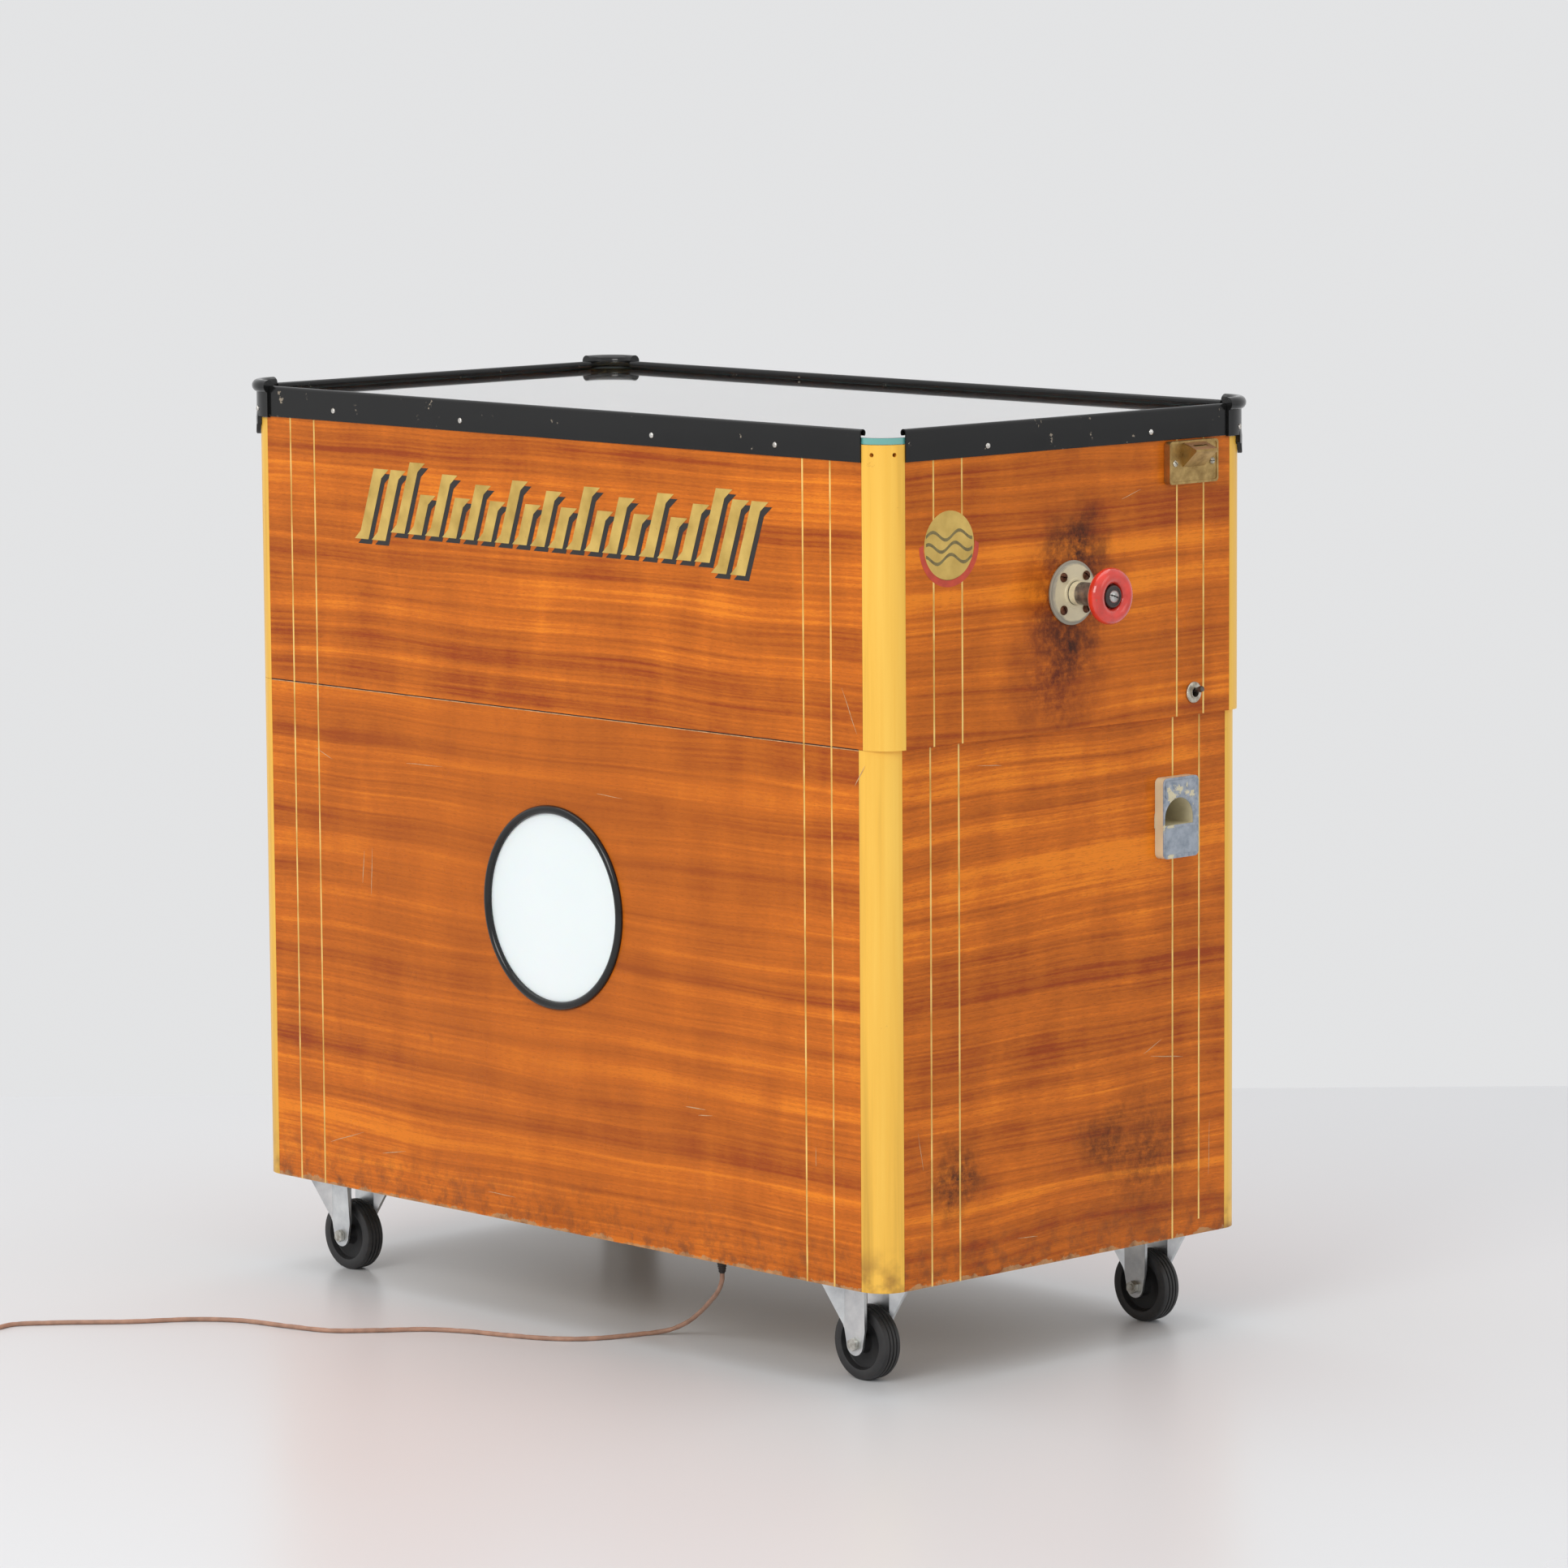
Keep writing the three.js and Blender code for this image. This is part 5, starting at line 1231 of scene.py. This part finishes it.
class PUSHER_OT_window(bpy.types.Operator):
    """Makes the black ring and finishes the opal sheet, with a painted glow, and the lamp behind it."""
    bl_idname = "pusher.window"
    bl_label = "Round window"

    def execute(self, context):
        looks = context.scene.pusher_trim
        enamel = chipped_paint("ring_enamel", tuple(looks.enamel), (0.28, 0.24, 0.2), amount=0.15, size=90.0,
                               roughness=0.1, coat=0.3)
        low, high = corners("window_ring")
        centre = Vector((high.x, (low.y + high.y) / 2, (low.z + high.z) / 2))
        outer = (high.z - low.z) / 2 / MM
        width, proud = 9.5, (high.x - low.x) / MM
        mid = outer - width / 2
        bead = [(mid + width / 2 * math.cos(math.radians(a)), proud * math.sin(math.radians(a)))
                for a in range(8, 173, 9)]
        profile = [(outer, 0), *bead, (outer - width, 0)]
        ring = turned("window_ring_bead", profile, (-1, 0, 0), centre, 2 * looks.steps)
        piece = finished("window_ring_bead", ring, enamel, "cabinet", smooth=50)
        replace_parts(piece, "window_ring")
        dress("window_glass", opal_sheet())
        dress("window_lamp", moulded("lamp_glass", (0.86, 0.84, 0.78), (0.76, 0.73, 0.66), 0.25, 40.0, 0.3))
        return {"FINISHED"}


# ---- casters ----

class PUSHER_OT_casters(bpy.types.Operator):
    """Makes the grooved wheels and finishes the brackets and axles."""
    bl_idname = "pusher.casters"
    bl_label = "Casters"

    def execute(self, context):
        zinc = worn_metal("caster_zinc", (0.78, 0.80, 0.80), (0.56, 0.58, 0.60), 0.30, 26.0, 0.18)
        bolt = worn_metal("caster_bolt", (0.66, 0.66, 0.62), (0.35, 0.33, 0.28), 0.34, 140.0, 0.2)
        tread = moulded("wheel_rubber", (0.020, 0.020, 0.021), (0.034, 0.033, 0.033), 0.42, 70.0)
        hub = moulded("wheel_hub", (0.012, 0.012, 0.013), (0.02, 0.02, 0.02), 0.5, 90.0)
        for corner in CORNERS:
            dress(f"caster_{corner}_bracket", zinc)
            dress(f"caster_{corner}_axle", bolt)
            low, high = corners(f"caster_{corner}_wheel")
            centre = (low + high) / 2
            radius = (high.z - low.z) / 2 / MM
            half = 11.5
            side = [(radius - 12.4, 5.2), (radius - 11.8, 8.2), (radius - 11.0, half - 0.5), (radius - 10, half),
                    (radius - 3.4, half), (radius - 1.3, half - 0.9), (radius - 0.3, half - 2.7)]
            crown = [(radius - 0.1, 6.6), (radius - 0.1, 5.6), (radius - 1.3, 5.1), (radius - 1.3, 4.3),
                     (radius, 3.8), (radius, 1.0), (radius - 1.2, 0.6)]
            tyre = [*side, *crown]
            profile = tyre + [(r, -h) for r, h in reversed(tyre)]
            tyre_mesh = turned("tyre", profile, (1, 0, 0), centre, 72)
            core = [(radius - 12.2, 5.0), (radius - 13.2, 4.0), (20.5, 3.2), (13.0, 3.0), (11.2, 3.8), (10.3, 6),
                    (9.9, 13.6), (9.3, 14.0), (4.4, 14.0)]
            core_mesh = turned("core", core + [(r, -h) for r, h in reversed(core)], (1, 0, 0), centre, 56)
            body = "wheel_" + corner
            wheel = finished(f"{corner}_tyre", tyre_mesh, tread, body, smooth=32)
            centre_piece = finished(f"{corner}_wheel_centre", core_mesh, hub, body, smooth=32)
            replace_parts(wheel, f"caster_{corner}_wheel")
            centre_piece.parent = wheel
        return {"FINISHED"}


# ---- hand control ----

class PUSHER_OT_control(bpy.types.Operator):
    """Makes the flange, the rod, the ring knob and its boss and screw."""
    bl_idname = "pusher.control"
    bl_label = "Hand control"

    def execute(self, context):
        looks = context.scene.pusher_control
        steps = context.scene.pusher_trim.steps
        face_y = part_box("upper_front_panel")[0][1]
        height = middle_of("knob_flange").z
        face = Vector((0, face_y, height))
        out = (0, -1, 0)
        cream = flange_paint(looks)
        flange = [(12.4, 0.4), (33.3, 0.4), (33.5, 0.9), (33.5, 2.6), (33.0, 3.1), (30.9, 3.5), (30.5, 4.0),
                  (30.4, 5.0), (29.9, 5.5), (16.0, 5.5), (15.5, 5.7), (15.2, 7.0), (14.7, 7.5), (12.8, 7.5),
                  (12.4, 7.2)]
        piece = finished("flange_plate", turned("flange_plate", flange, out, face, steps), cream,
                         "cabinet", smooth=30)
        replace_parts(piece, "knob_flange")

        rod_end = (face_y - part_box("control_rod")[0][1]) / MM
        rod_start = (face_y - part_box("control_rod")[1][1]) / MM
        rod_metal = worn_metal("rod_metal", (0.46, 0.45, 0.42), (0.12, 0.105, 0.09), 0.34, 95.0, 0.3)

        def hammered(r, h, angle):
            if not (20 < h < rod_end - 3 and r > 11):
                return 0
            return -0.18 * max(0.0, math.sin(h * 1.3 + 3 * math.sin(angle * 2)) * math.sin(angle * 5 + h * 0.8))

        long_rod = [(0, rod_start), (11.0, rod_start), (12, rod_start + 1)]
        long_rod += [(12, 8 + i) for i in range(int(rod_end - 10))]
        long_rod += [(12, rod_end - 0.5), (11.5, rod_end), (0, rod_end)]
        rod_piece = finished("push_rod", turned("push_rod", long_rod, out, face, 56, hammered), rod_metal,
                             "control", smooth=60)
        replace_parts(rod_piece, "control_rod")
        collar_paint = moulded("collar_cream", tuple(looks.cream), tuple(0.72 * c for c in looks.cream),
                               0.32, 90.0, 0.3)
        collar = [(12.02, 8.2), (12.15, 8.2), (12.15, 15.4), (12.02, 16.0)]
        sleeve = turned("rod_sleeve", collar, out, face, 56)
        sleeve_piece = finished("rod_sleeve", sleeve, collar_paint, "control", smooth=40)
        sleeve_piece.parent = rod_piece

        centre, ring, rim = 56.0, 21.0, 8.5
        back, front = 50.5, 55.5
        start = 180 + math.degrees(math.asin((centre - back) / rim))
        end = 540 + math.degrees(math.asin((centre - front) / rim))
        knob = [(4.0, back), (ring - rim + 0.5, back)] + arc(ring, centre, rim, start, end, 34)
        knob += [(ring - rim + 0.4, front), (4.0, front)]
        knob_piece = finished("ring_knob", turned("ring_knob", knob, out, face, steps), knob_paint(looks),
                              "control", smooth=50)
        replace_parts(knob_piece, "control_knob")

        low, high = ((face_y - y) / MM for y in (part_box("knob_boss")[1][1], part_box("knob_boss")[0][1]))
        boss = [(4.0, low), (11.6, low), (12.2, low + 0.6), (12.2, high - 1.8), (11.4, high - 0.4), (10.6, high),
                (9.4, high), (9.2, high - 0.5), (4.0, high - 0.5)]
        brown = moulded("boss_brown", (0.030, 0.014, 0.010), (0.016, 0.008, 0.006), 0.25, 120.0, 0.4)
        boss_piece = finished("brown_boss", turned("brown_boss", boss, out, face, steps), brown, "control",
                              smooth=40)
        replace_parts(boss_piece, "knob_boss")

        steel = worn_metal("screw_steel", (0.62, 0.61, 0.59), (0.30, 0.28, 0.26), 0.28, 150.0)
        screws("knob_screw", [(face + Vector((0, -(high - 1.2) * MM, 0)), out)], 0.0068, steel, "control",
               slotted=True, turn=1.2)
        brown_screw = worn_metal("screw_brown", (0.16, 0.07, 0.04), (0.07, 0.03, 0.02), 0.42, 160.0)
        places = [(face + Vector((sx * 0.0167, -0.0054, sz * 0.017)), out) for sx in (-1, 1) for sz in (-1, 1)]
        screws("flange_screws", places, 0.0050, brown_screw, "cabinet", slotted=True,
               turn=0.4)
        return {"FINISHED"}


# ---- coin entry, payout cup, switch and the service side ----

COIN_ENTRY_X, COIN_ENTRY_Z = 0.176, 0.934
SWITCH_X, SWITCH_Z = 0.1835, 0.690
LOCK_Z = 0.288


class PUSHER_OT_fittings(bpy.types.Operator):
    """Finishes the coin entry, the payout cup, the switch, the hinge and the lock, with their screws."""
    bl_idname = "pusher.fittings"
    bl_label = "Coin entry, cup and switch"

    def execute(self, context):
        looks = context.scene.pusher_control
        brass = worn_metal("entry_brass", (0.56, 0.38, 0.15), (0.30, 0.19, 0.07), 0.36, 60.0, 0.22)
        copper = worn_metal("nose_copper", (0.62, 0.33, 0.16), (0.40, 0.20, 0.09), 0.32, 60.0, 0.2)
        dress("coin_entry", brass)
        for node in ("door_hinge", "door_lock"):
            dress(node, brass)
        dress("payout_cup", worn_cup_paint(looks))
        nickel = worn_metal("switch_nickel", (0.66, 0.62, 0.52), (0.36, 0.32, 0.25), 0.26, 170.0)
        dress("switch_body", nickel)
        dress("switch_lever", worn_metal("lever_dark", (0.20, 0.18, 0.16), (0.09, 0.08, 0.07), 0.34, 180.0))
        face_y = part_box("upper_front_panel")[0][1]
        self.nose_top(copper, face_y)
        plate_y = face_y - 0.0085 + 0.0008
        places = [(Vector((COIN_ENTRY_X + s * 0.028, plate_y, 0.9335)), (0, -1, 0)) for s in (-1, 1)]
        screws("entry_screws", places, 0.0036, nickel, "cabinet", slotted=True, turn=0.7)
        self.nut(face_y, nickel)
        self.cup_face()
        self.lock_face(brass)
        return {"FINISHED"}

    def nose_top(self, copper, face_y):
        """A copper-coloured slip on the sloping top of the nose, open where the coin slot is."""
        back, front = 0.0086, 0.0268
        top_back, top_front = COIN_ENTRY_Z + 0.0205, COIN_ENTRY_Z + 0.0140

        def on_slope(a, share, out):
            y = face_y - (back + (front - back) * share)
            z = top_back + (top_front - top_back) * share
            return Vector((COIN_ENTRY_X + a, y, z + out))

        outer = rounded_box(0, 0.5, 0.0325, 0.94, 0.0008, 2)
        hole = rounded_box(0, 0.50, 0.0206, 0.26, 0.0008, 3)
        mesh = plate("nose_slip", outer, 0.00025, on_slope, holes=[list(reversed(hole))])
        finished("nose_slip", mesh, copper, "cabinet")

    def nut(self, face_y, nickel):
        """A knurled dress nut round the switch's bush."""
        centre = Vector((SWITCH_X, face_y, SWITCH_Z))

        def knurl(r, h, angle):
            return 0.18 * math.sin(36 * angle) if r > 8 and h > 0.5 else 0

        profile = [(6.1, 0.35), (11.0, 0.35), (11.0, 1.5), (10.4, 2.3), (8.9, 2.62), (6.1, 2.62)]
        finished("dress_nut", turned("dress_nut", profile, (0, -1, 0), centre, 144, knurl), nickel, "cabinet",
                 smooth=40)

    def cup_face(self):
        """A thin blank label plate below the mouth."""
        y = cup_face_y()
        grey = moulded("label_grey", (0.36, 0.40, 0.46), (0.22, 0.26, 0.31), 0.4, 90.0, 0.1)
        low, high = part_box("payout_cup")
        x = (low[0] + high[0]) / 2
        lower = plate("label", rounded_box(x, low[2] + 0.0185, 0.048, 0.028, 0.002), 0.0004,
                      front_face(y + 0.0009), rounding=0.0001)
        finished("cup_label", lower, grey, "cabinet")

    def lock_face(self, brass):
        """A raised rim round the lock's face on the service door."""
        low, high = corners("door_lock")
        centre = Vector(((low.x + high.x) / 2, high.y - 0.0006, LOCK_Z))
        profile = [(5.8, -0.6), (5.8, 0.2), (5.4, 0.6), (4.9, 0.6), (4.6, 0.2), (4.6, -0.6)]
        finished("lock_plug", turned("lock_plug", profile, (0, 1, 0), centre, 40), brass, "lock",
                 smooth=40)


# ---- inside ----

class PUSHER_OT_inside(bpy.types.Operator):
    """Finishes the play deck, the shelf, the bulkhead, the chute and the cash box."""
    bl_idname = "pusher.inside"
    bl_label = "Inside pieces"

    def execute(self, context):
        dress("playfield_board", plain_board("deck_green", (0.10, 0.24, 0.15), (0.06, 0.16, 0.10), (40, 3, 40)))
        dress("pusher_shelf", plain_board("shelf_red", (0.50, 0.07, 0.045), (0.36, 0.045, 0.03), (3, 40, 40)))
        dress("front_bulkhead", plain_board("bulkhead_cream", (0.74, 0.66, 0.44), (0.62, 0.54, 0.35)))
        zinc = worn_metal("chute_zinc", (0.62, 0.63, 0.62), (0.42, 0.43, 0.43), 0.35, 18.0, 0.2)
        dress("payout_chute", zinc)
        dress("cash_box", chipped_paint("box_grey", (0.15, 0.18, 0.16), (0.35, 0.34, 0.32), 0.3, 50.0, 0.4, 0.1))
        return {"FINISHED"}


# ---- wear and ornament on the veneer ----

# Each mark: how far across the face, how high, its length and width in metres, and its lean in degrees.
SIDE_MARKS = (
    (0.345, 0.470, 0.036, 0.0012, 91), (0.331, 0.466, 0.052, 0.0010, 88), (0.380, 0.165, 0.060, 0.0009, 158),
    (0.300, 0.158, 0.040, 0.0009, 165), (-0.190, 0.268, 0.030, 0.0012, 175), (-0.205, 0.262, 0.022, 0.0009, 170),
    (-0.425, 0.705, 0.050, 0.0009, 60), (-0.440, 0.640, 0.026, 0.0012, 120), (-0.372, 0.240, 0.020, 0.0008, 85),
    (0.120, 0.135, 0.045, 0.0008, 176), (-0.280, 0.860, 0.022, 0.0008, 80), (0.410, 0.590, 0.030, 0.0008, 15),
    (0.240, 0.592, 0.060, 0.0007, 174), (-0.060, 0.585, 0.040, 0.0007, 178))
LOWER_FRONT_MARKS = (
    (0.150, 0.305, 0.050, 0.0010, 168), (0.128, 0.318, 0.030, 0.0008, 20), (-0.060, 0.140, 0.030, 0.0008, 172),
    (0.215, 0.200, 0.060, 0.0007, 84), (-0.215, 0.250, 0.040, 0.0007, 96))
UPPER_FRONT_MARKS = ((0.090, 0.905, 0.030, 0.0007, 12), (-0.120, 0.640, 0.036, 0.0007, 170))
SUNK = 0.00002


class PUSHER_OT_wear(bpy.types.Operator):
    """Lays the pale scratches on the case and the dark line between the storeys."""
    bl_idname = "pusher.wear"
    bl_label = "Scratches and seam"

    def execute(self, context):
        pale = moulded("scratch_pale", (0.62, 0.42, 0.24), (0.44, 0.24, 0.10), 0.6, 200.0)
        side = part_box("lower_left_panel")[0][0]
        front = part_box("lower_front_panel")[0][1]
        upper_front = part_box("upper_front_panel")[0][1]
        marks = [self.mark(face, *row) for face, rows in (
            (left_face(side - SUNK), SIDE_MARKS), (front_face(front - SUNK), LOWER_FRONT_MARKS),
            (front_face(upper_front - SUNK), UPPER_FRONT_MARKS)) for row in rows]
        finished("scratches", joined("scratches", *marks), pale, "cabinet")
        self.seam()
        return {"FINISHED"}

    def seam(self):
        """A dark shadow line between the storeys, with the bare edge of the lower one under it."""
        dark = moulded("seam_shadow", (0.020, 0.008, 0.004), (0.012, 0.005, 0.003), 0.8, 40.0)
        bare = moulded("seam_bare_wood", (0.66, 0.36, 0.17), (0.40, 0.16, 0.05), 0.6, 110.0)
        low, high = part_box("lower_left_panel")
        line = high[2] + 0.0002
        faces = {-1: low[0], 1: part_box("lower_right_panel")[1][0]}
        for name, paint, bottom, top in (("seam_shadow", dark, line - 0.0004, line + 0.0007),
                                         ("seam_bare_wood", bare, line - 0.0013, line - 0.0004)):
            strips = []
            for hand, x in faces.items():
                outline = [(low[1], bottom), (high[1], bottom), (high[1], top), (low[1], top)]
                strips.append(plate("strip", outline, 0.0001,
                                    lambda a, b, out, x=x, hand=hand: Vector((x + hand * (out - SUNK), a, b))))
            finished(name, joined(name, *strips), paint, "cabinet")

    def mark(self, frame_at, across, up, length, width, lean):
        """A thin spindle-shaped scratch."""
        angle = math.radians(lean)
        along, beside = (math.cos(angle), math.sin(angle)), (-math.sin(angle), math.cos(angle))
        outline = []
        for s, w in ((-0.5, 0.1), (-0.2, 0.5), (0.1, 0.35), (0.5, 0.08), (0.5, -0.08), (0.15, -0.5), (-0.25, -0.3),
                     (-0.5, -0.1)):
            bow = 0.04 * length * math.sin(3 * s)
            outline.append((across + along[0] * s * length + beside[0] * (w * width + bow),
                            up + along[1] * s * length + beside[1] * (w * width + bow)))
        return plate("mark", outline, 0.00006, frame_at)


class PUSHER_OT_ornament(bpy.types.Operator):
    """Lays a plain gilt ornament on the long side and a round emblem on the front."""
    bl_idname = "pusher.ornament"
    bl_label = "Gilt ornament"

    def execute(self, context):
        gold = gilt("ornament_gold", (0.74, 0.50, 0.12), (0.52, 0.33, 0.06))
        black = moulded("ornament_shadow", (0.010, 0.008, 0.007), (0.02, 0.012, 0.008), 0.35, 90.0, 0.2)
        face_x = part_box("upper_left_panel")[0][0]
        strokes = self.strokes()
        fronts, shadows = [], []
        for outline in strokes:
            fronts.append(plate("stroke", outline, 0.00012, left_face(face_x - 0.00018)))
            shifted = [(a - 0.0055, b - 0.0050) for a, b in outline]
            shadows.append(plate("stroke_shadow", shifted, 0.00010, left_face(face_x - 0.00004)))
        finished("ornament_shadow", joined("ornament_shadow", *shadows), black, "cabinet")
        finished("ornament_gilt", joined("ornament_gilt", *fronts), gold, "cabinet")
        self.emblem(gold)
        return {"FINISHED"}

    def strokes(self):
        """Slanting bars in a row, taller at both ends, each with a flag at its top and its foot."""
        lean, bars, step = 0.34, 22, 0.0286
        middle_y, foot_z = MACHINE_SHIFT + 0.002, 0.842
        outlines = []
        for i in range(bars):
            y = middle_y + (bars - 1) / 2 * step - i * step
            tall = (0.068, 0.044, 0.060, 0.044)[i % 4] if 2 < i < bars - 3 else 0.078
            drop = 0.010 if i in (0, 1, bars - 2, bars - 1) else 0.0
            half = 0.0080
            outline = [(half + 0.007, -drop), (-half, -drop), (-half, tall - drop - 0.010),
                       (-half - 0.009, tall - drop), (half, tall - drop), (half, 0.009 - drop)]
            outlines.append([(y + a - lean * b, foot_z + b) for a, b in outline])
        return outlines

    def emblem(self, gold):
        """A gold globe with plain bands inside a red crescent."""
        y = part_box("upper_front_panel")[0][1]
        red = moulded("emblem_red", (0.62, 0.06, 0.02), (0.45, 0.04, 0.015), 0.4, 70.0, 0.2)
        olive = moulded("emblem_olive", (0.22, 0.17, 0.05), (0.14, 0.10, 0.03), 0.4, 120.0, 0.2)
        x, z = -0.177, 0.870
        disc = arc(x, z, 0.0355, 0, 360 - 7.5, 47)
        finished("emblem_globe", plate("emblem_globe", disc, 0.00012, front_face(y - 0.00006)), gold, "cabinet")
        crescent = arc(x, z, 0.0425, 180, 360, 40) + list(reversed(arc(x, z + 0.0015, 0.0366, 178, 362, 40)))
        finished("emblem_crescent", plate("emblem_crescent", crescent, 0.00012, front_face(y - 0.00006)), red,
                 "cabinet")
        bands = []
        for k in range(3):
            level = z + 0.012 - 0.012 * k
            upper = [(x - 0.033 + 0.066 * s / 20, level + 0.0045 * math.sin(s * 0.55 + k)) for s in range(21)]
            lower = [(a, b - 0.0034) for a, b in reversed(upper)]
            bands.append(plate("band", upper + lower, 0.00010, front_face(y - 0.00018)))
        finished("emblem_bands", joined("emblem_bands", *bands), olive, "cabinet")


class PUSHER_PT_panel(bpy.types.Panel):
    """Lists the pieces and what may be changed."""
    bl_idname = "PUSHER_PT_panel"
    bl_label = "Coin pusher"
    bl_space_type = "VIEW_3D"
    bl_region_type = "UI"
    bl_category = "Coin pusher"

    def draw(self, context):
        layout = self.layout
        for group in GROUPS:
            looks = getattr(context.scene, group)
            for name in looks.__annotations__:
                layout.prop(looks, name)
        for operator in STEPS:
            layout.operator(operator.bl_idname)


GROUPS = {"pusher_case": CaseLooks, "pusher_trim": TrimLooks, "pusher_control": ControlLooks,
          "pusher_lead": LeadLooks}
STEPS = (PUSHER_OT_stage, PUSHER_OT_lead, PUSHER_OT_case, PUSHER_OT_top, PUSHER_OT_window, PUSHER_OT_casters,
         PUSHER_OT_control, PUSHER_OT_fittings, PUSHER_OT_inside, PUSHER_OT_wear, PUSHER_OT_ornament)


def register():
    for kind in (*GROUPS.values(), *STEPS, PUSHER_PT_panel):
        bpy.utils.register_class(kind)
    for name, kind in GROUPS.items():
        setattr(bpy.types.Scene, name, PointerProperty(type=kind))


def unregister():
    for name in GROUPS:
        delattr(bpy.types.Scene, name)
    for kind in (PUSHER_PT_panel, *reversed(STEPS), *reversed(list(GROUPS.values()))):
        bpy.utils.unregister_class(kind)


def main():
    register()
    for step in STEPS:
        group, name = step.bl_idname.split(".")
        getattr(getattr(bpy.ops, group), name)()


if __name__ == "__main__":
    main()
